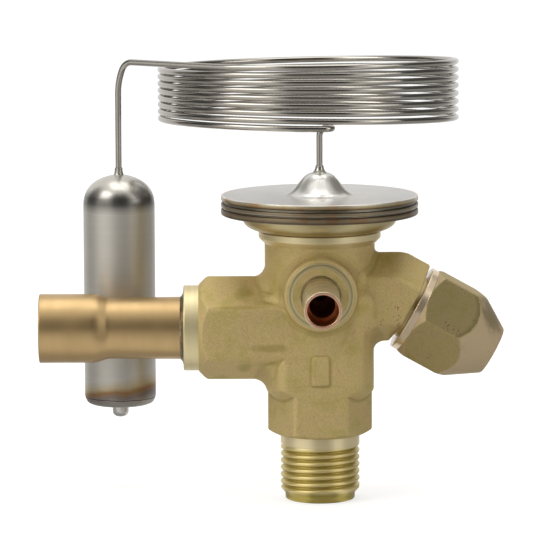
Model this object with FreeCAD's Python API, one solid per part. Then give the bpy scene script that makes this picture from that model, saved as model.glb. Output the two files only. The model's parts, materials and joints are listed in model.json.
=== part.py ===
import FreeCAD, Part
import math
import os
from FreeCAD import Placement, Rotation, Vector

# Refrigerant expansion valve with a flare inlet below, a solder outlet to the left, a pressure
# equalizing stub at the front, a capped setting branch to the right, and a bulb on a coiled
# capillary. Millimetres. +Z runs up the valve, the stub points to -Y, and the origin is the
# middle of the inlet's end face.

# Clearances
running = 0.05
sliding = 0.04
loose = 0.1
wide = 0.3

# Inlet stub and body column
thread_diameter = 15.875
stub_length = 13.2
pilot_diameter = 14.0
pilot_length = 1.5
inlet_bore = 10.6
hex_flats = 18.5
hex_height = 8.8
hex_face_diameter = 16.6
hex_chamfer_height = 0.9
column_width = 21.5
column_flat = 16.0
column_corner_depth = 9.6
column_foot_drop = 1.4
upper_diameter = 22.0
upper_foot_diameter = 18.0
upper_foot_drop = 3.7
upper_foot_length = 6.0
blend_height = 6.0
pad_width = 3.3
pad_height = 5.7
pad_rise = 0.4
pad_above_hex = 2.2

# Outlet branch and tube
outlet_above_hex = 12.7
outlet_reach = 24.3
outlet_bore = 9.0
branch_chamfer = 2.0
collar_diameter = 17.1
collar_length = 3.0
outlet_seat_depth = 7.3
outlet_tube_diameter = 12.5
outlet_waist_diameter = 12.2
outlet_tube_bore = 10.2
outlet_tube_length = 36.2
outlet_socket_diameter = 13.8
outlet_socket_bore = 12.1
outlet_socket_depth = 11.3
outlet_flare_length = 2.4
outlet_solder_width = 1.3
outlet_solder_length = 1.2
solder_hollow = 0.36

# Spring chamber and neck
divider = 2.0
spring_chamber = 17.0
spring_chamber_depth = 13.1
neck_diameter = 24.4
neck_height = 1.3
neck_cone = 1.2
orifice_seat_z = 20.0
orifice_bore = 8.6
outlet_chamber = 13.0

# Equalizer stub
equalizer_above_floor = 1.5
boss_diameter = 14.6
boss_reach = 12.3
boss_edge = 0.65
boss_spot = 11.0
boss_spot_depth = 0.25
equalizer_seat_depth = 2.7
equalizer_port = 2.5
equalizer_tube_diameter = 7.4
equalizer_tube_bore = 5.0
equalizer_socket_bore = 6.1
equalizer_socket_depth = 8.0
equalizer_tube_length = 23.6
equalizer_solder_width = 0.7
equalizer_solder_length = 0.9

# Setting branch, its spindle and its cap, along an axis that leans below the horizontal
spindle_lean = 29.0
spindle_above_floor = 7.7
branch_flats = 16.0
branch_centre_drop = 8.0
branch_reach = 20.3
branch_root = 30.0
branch_bar_length = 26.4
cap_neck_diameter = 13.0
cap_neck_length = 7.7
gland_bore = 9.2
gland_bore_depth = 11.1
stem_bore = 6.0
cap_gap = 0.7
cap_flats = 17.8
cap_length = 18.5
cap_flange_length = 1.0
cap_cone_start = 10.2
cap_end_diameter = 9.9
cap_hollow_diameter = 10.0
cap_hollow_depth = 6.2
cap_hollow_cone = 2.0
gasket_thickness = 0.8
gasket_bore = 9.4
gland_nut_length = 6.0
gland_socket = 7.2
gland_socket_depth = 1.4
gland_slot_width = 1.4
gland_slot_depth = 1.2
spindle_collar_diameter = 7.2
spindle_collar_length = 1.4
spindle_shank_diameter = 5.0
spindle_nose_diameter = 4.0
spindle_nose_length = 8.4
spindle_key_flats = 3.6
spindle_key_length = 2.6
spindle_shank_length = 6.6

# Fork that the spindle drives under the spring seat
fork_top_drop = 2.4
fork_thickness = 2.8
fork_diameter = 12.8
fork_slot_reach = 3.5
fork_stem_start = 4.0
fork_stem_end = 14.5
fork_thread_start = 6.5
seat_diameter = 16.0
seat_thickness = 2.0
seat_lip = 1.0

# Power element
capsule_diameter = 39.4
dish_shoulder_diameter = 30.8
dish_foot_inset = 0.2
dish_height = 3.3
dish_bulge = 0.9
dish_bulge_share = 0.36
dish_wall = 1.0
dish_flange = 1.3
foil = 0.2
ring_thickness = 0.85
groove = 0.5
groove_depth = 0.7
cover_thickness = 1.05
dome_foot_diameter = 14.0
dome_height = 4.3
dome_top_diameter = 3.2
dome_wall = 0.9
dome_flare = (0.81, 0.16)
dome_knee = (0.67, 0.44)
dome_crown = (0.48, 0.79)
solder_cone_rim = 0.12
head_cone_hollow = 0.15
head_cone_hollow_drop = 0.2
ripple_inner = 15.0
ripple_pitch = 3.0
ripple_count = 3
ripple_height = 0.4
pad_plate_diameter = 21.0
pad_plate_thickness = 1.3
pad_hub_diameter = 10.2
pad_hub_length = 1.2

# Push rod, its seal, and the main spring
rod_diameter = 3.0
rod_tip_diameter = 1.6
rod_tip_length = 4.2
rod_socket_depth = 1.0
guide_boss_diameter = 6.0
guide_boss_length = 2.4
seal_collar_diameter = 7.6
seal_collar_height = 1.2
seal_room = 1.2
seal_bore = 5.4
retainer_thickness = 0.8
spring_mean_diameter = 12.5
spring_wire = 1.6
spring_turns = 4

# Orifice cartridge, valve cone and strainer
cartridge_length = 19.9
cartridge_above_seat = 7.9
cartridge_flange_diameter = 10.5
orifice_diameter = 2.5
orifice_land = 2.4
orifice_bevel = 0.6
retainer_ledge = 0.7
cone_chamber = 5.6
cone_head_diameter = 4.4
cone_tip_diameter = 1.8
cone_half_angle = 30.0
cone_rim_height = 1.0
cone_skirt_length = 3.4
cone_clearance = 0.03
seal_groove_below_top = 5.0
seal_groove_width = 1.1
seal_groove_depth = 0.9
retainer_plate = 1.2
retainer_hole = 1.1
retainer_hole_count = 6
retainer_hole_inset = 0.2
cone_spring_mean_diameter = 4.0
cone_spring_wire = 0.6
cone_spring_turns = 5
strainer_diameter = 7.4
strainer_wall = 0.4
strainer_length = 5.4
strainer_rim_thickness = 1.0
strainer_hole = 0.9
strainer_rows = 3
strainer_per_row = 8

# Capillary, coil and bulb
capillary_diameter = 1.3
capillary_sides = 8
capillary_into_dome = 1.0
riser_height = 75.0
riser_bend = 1.8
riser_heading = 30.0
coil_radius = 30.25
coil_turns = 8
coil_pitch = 1.53
coil_tilt = 2.5
coil_fan = 0.2
coil_centre_x = -1.8
coil_steps = 36
bend_step = 12.0
drop_bend = 2.6
drop_bend_angle = 65.0
drop_sweep = 12.0
head_cone_length = 1.5
bulb_x = -40.5
bulb_y = 16.0
bulb_bottom_z = 16.8
bulb_length = 47.1
bulb_diameter = 14.5
bulb_wall = 0.7
bulb_dome_height = 5.4
bulb_dome_bulge = (0.79, 0.72)
bulb_cone_diameter = 2.0
bulb_cone_length = 1.4
bulb_seam_height = 1.6
charge_stub_diameter = 3.3
charge_stub_length = 1.4
charge_stub_end = 1.32
charge_stub_bulge = (0.78, 0.62)

# Levels and places that follow from the sizes above
hex_top = stub_length + hex_height
outlet_z = hex_top + outlet_above_hex
chamber_top = outlet_z + outlet_bore / 2
floor_z = chamber_top + divider
neck_top = floor_z + spring_chamber_depth
equalizer_z = floor_z + equalizer_above_floor
spindle_z = floor_z + spindle_above_floor
fork_top = spindle_z - fork_top_drop
seat_top = fork_top + seat_thickness
flange_bottom = neck_top + dish_height
foil_bottom = flange_bottom + dish_flange
ring_bottom = foil_bottom + foil
ring_top = ring_bottom + ring_thickness
cover_bottom = ring_top + groove
cover_top = cover_bottom + cover_thickness
dome_top = cover_top + dome_height
plate_bottom = foil_bottom - pad_plate_thickness
cartridge_top = orifice_seat_z + cartridge_above_seat
cartridge_bottom = cartridge_top - cartridge_length
orifice_bottom = cartridge_top - orifice_land
gland_start = branch_reach + cap_neck_length - gland_bore_depth
neck_end = branch_reach + cap_neck_length
cap_start = branch_reach + cap_gap
capsule_radius = capsule_diameter / 2

at_outlet = Placement(Vector(0, 0, outlet_z), Rotation(Vector(0, 1, 0), -90))
at_equalizer = Placement(Vector(0, 0, equalizer_z), Rotation(Vector(1, 0, 0), 90))
at_spindle = Placement(Vector(0, 0, spindle_z), Rotation(Vector(0, 1, 0), 90 + spindle_lean))
at_bulb = Placement(Vector(bulb_x, bulb_y, bulb_bottom_z), Rotation())


def placed(shape, placement):
    """The shape, built along +Z, carried to its own axis."""
    return shape.transformed(placement.toMatrix())


def turned(start, *steps):
    """A solid of revolution about Z. A step is a point (r, z), or (middle, end) for an arc."""
    here = Vector(start[0], 0, start[1])
    edges = []
    for step in steps + (start,):
        arc = isinstance(step[0], tuple)
        end = Vector(step[1][0], 0, step[1][1]) if arc else Vector(step[0], 0, step[1])
        if arc:
            middle = Vector(step[0][0], 0, step[0][1])
            edges.append(Part.Arc(here, middle, end).toShape())
        elif (end - here).Length > 1e-6:
            edges.append(Part.LineSegment(here, end).toShape())
        here = end
    face = Part.Face(Part.Wire(edges))
    return face.revolve(Vector(), Vector(0, 0, 1), 360)


def rod(diameter, low, high):
    """A round bar along Z."""
    return Part.makeCylinder(diameter / 2, high - low, Vector(0, 0, low))


def tube(outer, inner, low, high):
    """A round pipe along Z."""
    return rod(outer, low, high).cut(rod(inner, low, high))


def prism(points, low, high):
    """A bar along Z with the cross-section that the points give."""
    corners = [Vector(x, y, low) for x, y in points]
    return Part.Face(Part.makePolygon(corners + corners[:1])).extrude(Vector(0, 0, high - low))


def hexagon(flats, low, high, first=0.0):
    """A hexagonal bar along Z. The first corner stands at the given angle from +X."""
    radius = flats / math.sqrt(3)
    angles = [math.radians(first + 60 * k) for k in range(6)]
    return prism([(radius * math.cos(a), radius * math.sin(a)) for a in angles], low, high)


def joined(first, *others):
    """One solid out of several that meet."""
    return first.multiFuse(list(others)).removeSplitter()


def wire_bent(points, diameter, sides):
    """A bent wire with a many-sided section, carried along the points with mitred corners."""
    heading = (points[1] - points[0]).normalize()
    across = heading.cross(Vector(0, 0, 1))
    if across.Length < 0.1:
        across = heading.cross(Vector(1, 0, 0))
    across.normalize()
    upward = across.cross(heading)
    corners = []
    for k in range(sides):
        angle = 2 * math.pi * (k + 0.5) / sides
        offset = across * math.cos(angle) + upward * math.sin(angle)
        corners.append(points[0] + offset * (diameter / 2))
    section = Part.makePolygon(corners + corners[:1])
    return Part.makePolygon(points).makePipeShell([section], True, False, 1)


def o_ring(inner, outer, height):
    """A rubber ring about Z at a height, filling the room between a shaft and a bore."""
    ring = Part.makeTorus((inner + outer) / 4, (outer - inner) / 4 - sliding)
    return ring.translate(Vector(0, 0, height))


def inlet_column():
    """The threaded stub's core, the hexagon, the squarish column, and the round upper column."""
    stub = turned(
        (0, 0),
        (pilot_diameter / 2, 0),
        (pilot_diameter / 2, pilot_length),
        (thread_diameter / 2, pilot_length + (thread_diameter - pilot_diameter) / 2),
        (thread_diameter / 2, stub_length + 1),
        (0, stub_length + 1),
    )
    corner = hex_flats / math.sqrt(3)
    face = hex_face_diameter / 2
    hexagonal = hexagon(hex_flats, stub_length, hex_top).common(
        turned(
            (0, stub_length),
            (face, stub_length),
            (2 * corner - face, stub_length + 2 * hex_chamfer_height),
            (2 * corner - face, hex_top),
            (0, hex_top),
        )
    )
    w, d = column_width / 2, hex_flats / 2
    f, c = column_flat / 2, column_corner_depth / 2
    quarter = [(f, -d), (w, -c), (w, c), (f, d), (-f, d), (-w, c), (-w, -c), (-f, -d)]
    blend_top = floor_z + blend_height / 3
    reach = math.hypot(f, d) + 1
    foot = hex_top - column_foot_drop
    squarish = prism(quarter, foot, blend_top).common(
        turned(
            (0, foot),
            (d, foot),
            (reach, foot + reach - d),
            (reach, blend_top - blend_height),
            (upper_diameter / 2, blend_top),
            (0, blend_top),
        )
    )
    neck_r, upper_r = neck_diameter / 2, upper_diameter / 2
    upper_low = outlet_z - upper_foot_drop
    upper = turned(
        (0, upper_low),
        (upper_foot_diameter / 2, upper_low),
        (upper_r, upper_low + upper_foot_length),
        (upper_r, neck_top - neck_height - neck_cone),
        (neck_r, neck_top - neck_height),
        (neck_r, neck_top),
        (0, neck_top),
    )
    pad_low = hex_top + pad_above_hex
    pad = Part.makeBox(
        pad_width, pad_rise + 1, pad_height, Vector(-pad_width / 2, -d - pad_rise, pad_low)
    )
    return [stub, hexagonal, squarish, upper, pad]


def outlet_branch():
    """The hexagonal branch to the left, corners up and down, and its turned collar."""
    corner = hex_flats / math.sqrt(3)
    chamfered = turned(
        (0, 0),
        (corner + 1, 0),
        (corner + 1, outlet_reach - branch_chamfer - 1),
        (corner - branch_chamfer, outlet_reach),
        (0, outlet_reach),
    )
    branch = hexagon(hex_flats, 0, outlet_reach).common(chamfered)
    collar = rod(collar_diameter, outlet_reach - 1, outlet_reach + collar_length)
    return [placed(branch, at_outlet), placed(collar, at_outlet)]


def equalizer_boss():
    """The round boss at the front, with a bevelled edge and a shallow spot face."""
    r = boss_diameter / 2
    boss = turned(
        (0, 0),
        (r, 0),
        (r, boss_reach - boss_edge),
        (r - boss_edge, boss_reach),
        (boss_spot / 2, boss_reach),
        (boss_spot / 2, boss_reach - boss_spot_depth),
        (0, boss_reach - boss_spot_depth),
    )
    return placed(boss, at_equalizer)


def setting_branch():
    """Where a level hexagonal bar and one along the leaning axis share their space."""
    corner = branch_flats / math.sqrt(3)
    level = placed(
        hexagon(branch_flats, 0, branch_bar_length),
        Placement(Vector(0, 0, spindle_z - branch_centre_drop), Rotation(Vector(0, 1, 0), 90)),
    )
    half = branch_flats / 2
    section = [
        (-corner, 0),
        (-corner / 2, half),
        (branch_root, half),
        (branch_root, -half),
        (-corner / 2, -half),
    ]
    leaning = placed(prism(section, 0, branch_reach), at_spindle)
    neck = placed(rod(cap_neck_diameter, branch_reach - 1, neck_end), at_spindle)
    return [level.common(leaning), neck]


def body_bores():
    """Everything that is drilled or turned out of the forging."""
    seal_floor = floor_z + seal_collar_height - seal_room - retainer_thickness
    collar_top = floor_z + seal_collar_height
    along_axis = [
        rod(inlet_bore, -1, orifice_seat_z),
        rod(orifice_bore, orifice_seat_z - 1, cartridge_top + loose),
        tube(outlet_chamber, guide_boss_diameter, chamber_top - guide_boss_length, chamber_top),
        rod(outlet_chamber, cartridge_top + loose, chamber_top - guide_boss_length),
        rod(rod_diameter + 2 * running, chamber_top - guide_boss_length - 1, collar_top),
        rod(seal_bore, seal_floor, collar_top + 1),
        tube(spring_chamber, seal_collar_diameter, floor_z, collar_top),
        rod(spring_chamber, collar_top, neck_top + 1),
    ]
    outlet = [
        rod(outlet_bore, guide_boss_diameter / 2 + 1, outlet_reach),
        rod(
            outlet_tube_diameter + 2 * running,
            outlet_reach + collar_length - outlet_seat_depth,
            outlet_reach + collar_length + 1,
        ),
    ]
    equalizer = [
        rod(equalizer_port, seal_collar_diameter / 2 + 1, boss_reach),
        rod(
            equalizer_tube_diameter + 2 * running,
            boss_reach - equalizer_seat_depth,
            boss_reach + 1,
        ),
    ]
    spindle = [
        rod(stem_bore, fork_stem_start + 2, gland_start + 1),
        rod(gland_bore, gland_start, neck_end + 1),
    ]
    return (
        along_axis
        + [placed(s, at_outlet) for s in outlet]
        + [placed(s, at_equalizer) for s in equalizer]
        + [placed(s, at_spindle) for s in spindle]
    )


def valve_body():
    """The forging with its machined ends and bores."""
    outside = joined(*inlet_column(), *outlet_branch(), *setting_branch(), equalizer_boss())
    return outside.cut(body_bores())


def outlet_tube():
    """A drawn tube with a solder socket formed in its free end."""
    start = outlet_reach + collar_length - outlet_seat_depth
    end = start + outlet_tube_length
    socket = end - outlet_socket_depth
    base = outlet_tube_diameter / 2
    waist = outlet_waist_diameter / 2
    outer = outlet_socket_diameter / 2
    bore = outlet_tube_bore / 2
    socket_bore = outlet_socket_bore / 2
    shape = turned(
        (bore, start),
        (base, start),
        (base, outlet_reach + collar_length + 1),
        (waist, socket - outlet_flare_length * 1.5),
        (waist, socket - outlet_flare_length),
        (outer, socket),
        (outer, end),
        (socket_bore, end),
        (socket_bore, socket),
        (bore, socket - outlet_flare_length),
    )
    return placed(shape, at_outlet)


def solder_fillet(tube_diameter, width, length, start):
    """A hollow-cheeked ring of solder round a tube's root."""
    inner = tube_diameter / 2
    outer = inner + width
    middle = (inner + (outer - inner) * solder_hollow, start + length * solder_hollow)
    return turned((inner, start), (outer, start), (middle, (inner, start + length)))


def outlet_solder_ring():
    start = outlet_reach + collar_length
    ring = solder_fillet(outlet_tube_diameter, outlet_solder_width, outlet_solder_length, start)
    return placed(ring, at_outlet)


def equalizer_tube():
    """A short tube with a solder socket in its open end."""
    start = boss_reach - equalizer_seat_depth
    end = start + equalizer_tube_length
    socket = end - equalizer_socket_depth
    shape = tube(equalizer_tube_diameter, equalizer_tube_bore, start, end)
    return placed(shape.cut(rod(equalizer_socket_bore, socket, end + 1)), at_equalizer)


def equalizer_solder_ring():
    start = boss_reach - boss_spot_depth
    width, length = equalizer_solder_width, equalizer_solder_length
    return placed(solder_fillet(equalizer_tube_diameter, width, length, start), at_equalizer)


def capsule_lower_dish():
    """The lower half of the capsule: a ring on the neck, a bowl, and the flange."""
    foot = neck_diameter / 2 - dish_foot_inset
    shoulder = dish_shoulder_diameter / 2
    inner = spring_chamber / 2
    outer_bulge = ((foot + shoulder) / 2 + dish_bulge, neck_top + dish_height * dish_bulge_share)
    inner_bulge = (outer_bulge[0] - dish_wall * 0.6, outer_bulge[1] + dish_wall * 0.9)
    return turned(
        (inner, neck_top),
        (foot, neck_top),
        (outer_bulge, (shoulder, flange_bottom)),
        (capsule_radius, flange_bottom),
        (capsule_radius, foil_bottom),
        (shoulder, foil_bottom),
        (inner_bulge, (foot - dish_wall, neck_top + dish_wall)),
        (inner, neck_top + dish_wall),
    )


def diaphragm():
    """A thin disc with concentric ripples that rise from its flat middle and rim."""
    steps = 8 * ripple_count
    start = ripple_inner / 2
    width = ripple_pitch * ripple_count
    lower = []
    for k in range(steps + 1):
        share = k / steps
        lift = ripple_height * (1 - math.cos(2 * math.pi * ripple_count * share)) / 2
        lower.append((start + width * share, foil_bottom + lift))
    upper = [(r, z + foil) for r, z in reversed(lower)]
    edge = capsule_radius - groove_depth / 2
    outline = lower + [(edge, foil_bottom), (edge, ring_bottom)] + upper
    return turned((0, foil_bottom), *outline, (0, ring_bottom))


def capsule_spacer_ring():
    """The middle lamination, with the step that shows as the groove under the cover."""
    bore = ripple_inner / 2 + ripple_pitch * ripple_count + wide
    return turned(
        (bore, ring_bottom),
        (capsule_radius, ring_bottom),
        (capsule_radius, ring_top),
        (capsule_radius - groove_depth, ring_top),
        (capsule_radius - groove_depth, cover_bottom),
        (bore, cover_bottom),
    )


def dome_point(share_out, share_up, inset):
    """A point of the dome's section, by its shares of the foot's radius and of the height."""
    foot = dome_foot_diameter / 2
    return (foot * share_out - inset, cover_top + dome_height * share_up - inset * 0.8)


def capsule_cover():
    """The pressed top disc with its hollow dome, open where the capillary enters."""
    top = dome_top_diameter / 2
    hole = capillary_diameter / 2 + sliding
    mouth = dome_point(1.0, 0.0, dome_wall)[0] - dome_wall / 2
    flare, knee, crown = dome_flare, dome_knee, dome_crown
    return turned(
        (mouth, cover_bottom),
        (capsule_radius, cover_bottom),
        (capsule_radius, cover_top),
        dome_point(1.0, 0.0, 0),
        (dome_point(*flare, 0), dome_point(*knee, 0)),
        (dome_point(*crown, 0), (top, dome_top)),
        (hole, dome_top),
        (hole, dome_top - dome_wall),
        (top, dome_top - dome_wall),
        (dome_point(*crown, dome_wall), dome_point(*knee, dome_wall)),
        (dome_point(*flare, dome_wall), (mouth, cover_bottom)),
    )


def head_solder_cone():
    """The solder that seals the capillary into the dome."""
    hole = capillary_diameter / 2 + sliding
    high = dome_top + head_cone_length
    rim = hole + solder_cone_rim
    middle = (
        (dome_top_diameter / 2 + hole) / 2 - head_cone_hollow,
        (dome_top + high) / 2 - head_cone_hollow_drop,
    )
    return turned(
        (hole, dome_top), (dome_top_diameter / 2, dome_top), (middle, (rim, high)), (hole, high)
    )


def thrust_pad():
    """The plate under the diaphragm, with a hub that centres the spring and holds the rod."""
    hub_bottom = plate_bottom - pad_hub_length
    plate = rod(pad_plate_diameter, plate_bottom, foil_bottom)
    hub = rod(pad_hub_diameter, hub_bottom, plate_bottom)
    socket = rod(rod_diameter, hub_bottom - 1, hub_bottom + rod_socket_depth)
    return joined(plate, hub).cut(socket)


def push_rod():
    """From the pad's socket down through seal and guide, with a slim tip through the orifice."""
    top = plate_bottom - pad_hub_length + rod_socket_depth
    bottom = orifice_bottom + cone_tip_height()
    step = bottom + rod_tip_length
    return joined(rod(rod_diameter, step, top), rod(rod_tip_diameter, bottom, step))


def rod_seal():
    centre = floor_z + seal_collar_height - retainer_thickness - seal_room / 2
    return o_ring(rod_diameter, seal_bore, centre)


def rod_seal_retainer():
    top = floor_z + seal_collar_height
    return tube(seal_bore - 2 * sliding, rod_diameter + 2 * loose, top - retainer_thickness, top)


def ground_spring(mean, wire, turns, low, high, sides, steps):
    """An open coil spring whose ends are ground flat."""
    points = []
    for k in range(turns * steps + 1):
        angle = 2 * math.pi * k / steps
        z = low + (high - low) * k / (turns * steps)
        points.append(Vector(mean / 2 * math.cos(angle), mean / 2 * math.sin(angle), z))
    return wire_bent(points, wire, sides).common(rod(mean + 2 * wire, low, high))


def superheat_spring():
    return ground_spring(
        spring_mean_diameter, spring_wire, spring_turns, seat_top, plate_bottom, 8, 20
    )


def spring_seat():
    """The plate that the fork lifts, with a lip inside the spring's end."""
    lip = spring_mean_diameter - spring_wire - 2 * loose
    bore = rod_diameter + 2 * wide
    plate = tube(seat_diameter, bore, fork_top, seat_top)
    return joined(plate, tube(lip, bore, seat_top, seat_top + seat_lip))


def setting_fork():
    """A flat fork round the push rod, on a round stem that the spindle's thread pulls in or out."""
    low = fork_top - fork_thickness
    half_slot = rod_diameter / 2 + wide
    plate = rod(fork_diameter, low, fork_top)
    stem = placed(rod(stem_bore - 2 * sliding, fork_stem_start, fork_stem_end), at_spindle)
    fork = joined(plate, stem)
    over = rod(2 * column_width, fork_top, fork_top + column_width)
    slot = Part.makeBox(
        fork_diameter + fork_slot_reach, 2 * half_slot, 3 * fork_thickness,
        Vector(-fork_diameter, -half_slot, low - fork_thickness),
    )
    thread = rod(spindle_nose_diameter + 2 * running, fork_thread_start, fork_stem_end + 1)
    return fork.cut([over, slot, placed(thread, at_spindle)])


def adjusting_spindle():
    """Threaded nose, captive collar, sealed shank and a square end for the key."""
    collar = gland_start + loose
    shank = collar + spindle_collar_length
    key = shank + spindle_shank_length
    half = spindle_key_flats / 2
    square = [(-half, -half), (half, -half), (half, half), (-half, half)]
    return placed(
        joined(
            rod(spindle_nose_diameter, collar - spindle_nose_length, collar),
            rod(spindle_collar_diameter, collar, shank),
            rod(spindle_shank_diameter, shank, key),
            prism(square, key, key + spindle_key_length),
        ),
        at_spindle,
    )


def gland_nut_low():
    """Where the gland nut starts along the leaning axis."""
    return gland_start + spindle_collar_length + 2 * loose


def spindle_gland_nut():
    """The nut that traps the spindle's collar and holds its seal, with a slot for a driver."""
    low = gland_nut_low()
    high = low + gland_nut_length
    nut = tube(gland_bore - 2 * loose, spindle_shank_diameter + 2 * loose, low, high)
    recess = rod(gland_socket, low - 1, low + gland_socket_depth)
    corner = Vector(-gland_bore / 2, -gland_slot_width / 2, high - gland_slot_depth)
    slot = Part.makeBox(gland_bore, gland_slot_width, gland_slot_depth + 1, corner)
    return placed(nut.cut([recess, slot]), at_spindle)


def spindle_seal():
    centre = gland_nut_low() + gland_socket_depth / 2
    return placed(o_ring(spindle_shank_diameter, gland_socket, centre), at_spindle)


def cap_gasket():
    gasket = tube(cap_neck_diameter, gasket_bore, neck_end, neck_end + gasket_thickness)
    return placed(gasket, at_spindle)


def seal_cap():
    """A blind hexagonal nut with a turned flange, a long cone and a flat end."""
    high = cap_start + cap_length
    corner = cap_flats / math.sqrt(3)
    edge = cap_flats / 2
    end = cap_end_diameter / 2
    cone_low = cap_start + cap_cone_start
    outline = turned(
        (0, cap_start),
        (edge, cap_start),
        (edge, cap_start + cap_flange_length),
        (corner, cap_start + cap_flange_length + (corner - edge)),
        (corner, cone_low),
        (end, high),
        (0, high),
    )
    cap = hexagon(cap_flats, cap_start, high, 90).common(outline)
    shoulder = neck_end + gasket_thickness
    thread = rod(cap_neck_diameter + 2 * running, cap_start - 1, shoulder)
    hollow = turned(
        (0, shoulder - 1),
        (cap_hollow_diameter / 2, shoulder - 1),
        (cap_hollow_diameter / 2, shoulder + cap_hollow_depth - cap_hollow_cone),
        (0, shoulder + cap_hollow_depth),
    )
    return placed(cap.cut([thread, hollow]), at_spindle)


def cone_tip_height():
    """How far the closed valve cone's flat tip stands above the orifice's lower edge."""
    slope = 1 / math.tan(math.radians(cone_half_angle))
    return (orifice_diameter - cone_tip_diameter) / 2 * slope - cone_clearance


def orifice_cartridge():
    """The insert with the metering hole, a seal groove, and the chamber of the valve cone."""
    flange = cartridge_flange_diameter / 2
    body = orifice_bore / 2 - running
    groove_top = cartridge_top - seal_groove_below_top
    chamber = cone_chamber / 2
    hole = orifice_diameter / 2
    wide_chamber = chamber + retainer_ledge
    return turned(
        (wide_chamber, cartridge_bottom),
        (flange, cartridge_bottom),
        (flange, orifice_seat_z),
        (body, orifice_seat_z),
        (body, groove_top - seal_groove_width),
        (body - seal_groove_depth, groove_top - seal_groove_width),
        (body - seal_groove_depth, groove_top),
        (body, groove_top),
        (body, cartridge_top),
        (hole + orifice_bevel, cartridge_top),
        (hole, cartridge_top - orifice_bevel),
        (hole, orifice_bottom),
        (chamber, orifice_bottom),
        (chamber, cartridge_bottom + retainer_plate),
        (wide_chamber, cartridge_bottom + retainer_plate),
    )


def cartridge_seal():
    groove_floor = orifice_bore - 2 * running - 2 * seal_groove_depth
    centre = cartridge_top - seal_groove_below_top - seal_groove_width / 2
    return o_ring(groove_floor, orifice_bore, centre)


def valve_cone():
    """The closing cone below the orifice, with a skirt that centres its spring."""
    slope = 1 / math.tan(math.radians(cone_half_angle))
    tip = cone_tip_diameter / 2
    head = cone_head_diameter / 2
    top = orifice_bottom + cone_tip_height()
    shoulder = top - (head - tip) * slope
    stem = cone_spring_mean_diameter / 2 - cone_spring_wire / 2 - loose
    rim = shoulder - cone_rim_height
    return turned(
        (0, rim - cone_skirt_length),
        (stem, rim - cone_skirt_length),
        (stem, rim),
        (head, rim),
        (head, shoulder),
        (tip, top),
        (0, top),
    )


def cone_spring():
    slope = 1 / math.tan(math.radians(cone_half_angle))
    lift = (cone_head_diameter - cone_tip_diameter) / 2 * slope
    high = orifice_bottom + cone_tip_height() - lift - cone_rim_height
    low = cartridge_bottom + retainer_plate
    return ground_spring(
        cone_spring_mean_diameter, cone_spring_wire, cone_spring_turns, low, high, 6, 14
    )


def cone_retainer():
    """The drilled plate that keeps the cone and its spring in the cartridge."""
    radius = cone_chamber / 2 + retainer_ledge - sliding
    low = cartridge_bottom
    plate = rod(2 * radius, low, low + retainer_plate)
    pitch = cone_spring_mean_diameter / 2 - retainer_hole_inset
    holes = []
    for k in range(retainer_hole_count):
        hole = rod(retainer_hole, low - 1, low + retainer_plate + 1)
        hole.translate(Vector(pitch, 0, 0))
        hole.rotate(Vector(), Vector(0, 0, 1), 360 * k / retainer_hole_count)
        holes.append(hole)
    return plate.cut(holes)


def strainer_rim():
    """The collar that carries the strainer against the cartridge."""
    high = cartridge_bottom
    bore = strainer_diameter + 2 * sliding
    return tube(cartridge_flange_diameter, bore, high - strainer_rim_thickness, high)


def strainer():
    """A perforated cup that stands in the inlet bore."""
    high = cartridge_bottom
    low = high - strainer_length
    inner = strainer_diameter - 2 * strainer_wall
    cup = rod(strainer_diameter, low, high).cut(rod(inner, low + strainer_wall, high + 1))
    drills = []
    spacing = (strainer_length - strainer_rim_thickness) / (strainer_rows + 0.5)
    for row in range(strainer_rows):
        z = low + spacing * (row + 0.75)
        for k in range(strainer_per_row):
            drill = rod(strainer_hole, 0, strainer_diameter)
            drill.rotate(Vector(), Vector(0, 1, 0), 90)
            drill.rotate(Vector(), Vector(0, 0, 1), 360 * (k + row / 2) / strainer_per_row)
            drill.translate(Vector(0, 0, z))
            drills.append(drill)
    return cup.cut(drills)


def turn_points(centre, spoke, normal, degrees):
    """Points of an arc: the spoke from the centre turns about the normal, first point left out."""
    count = max(4, round(abs(degrees) / bend_step))
    points = []
    for k in range(1, count + 1):
        points.append(centre + Rotation(normal, degrees * k / count).multVec(spoke))
    return points


def coil_point(centre, turns):
    """A point of the coil. The turns run clockwise from above, from the front, and rise."""
    angle = 2 * math.pi * turns
    side, front = -math.sin(angle), math.cos(angle)
    base = riser_height - coil_radius * math.sin(math.radians(coil_tilt))
    tilt = coil_radius * math.sin(math.radians(coil_tilt)) * front
    fan = coil_radius * math.sin(math.radians(coil_fan * (turns - coil_turns / 2))) * side
    return Vector(
        centre.x + coil_radius * side,
        centre.y - coil_radius * front,
        base + coil_pitch * turns + tilt + fan,
    )


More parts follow.
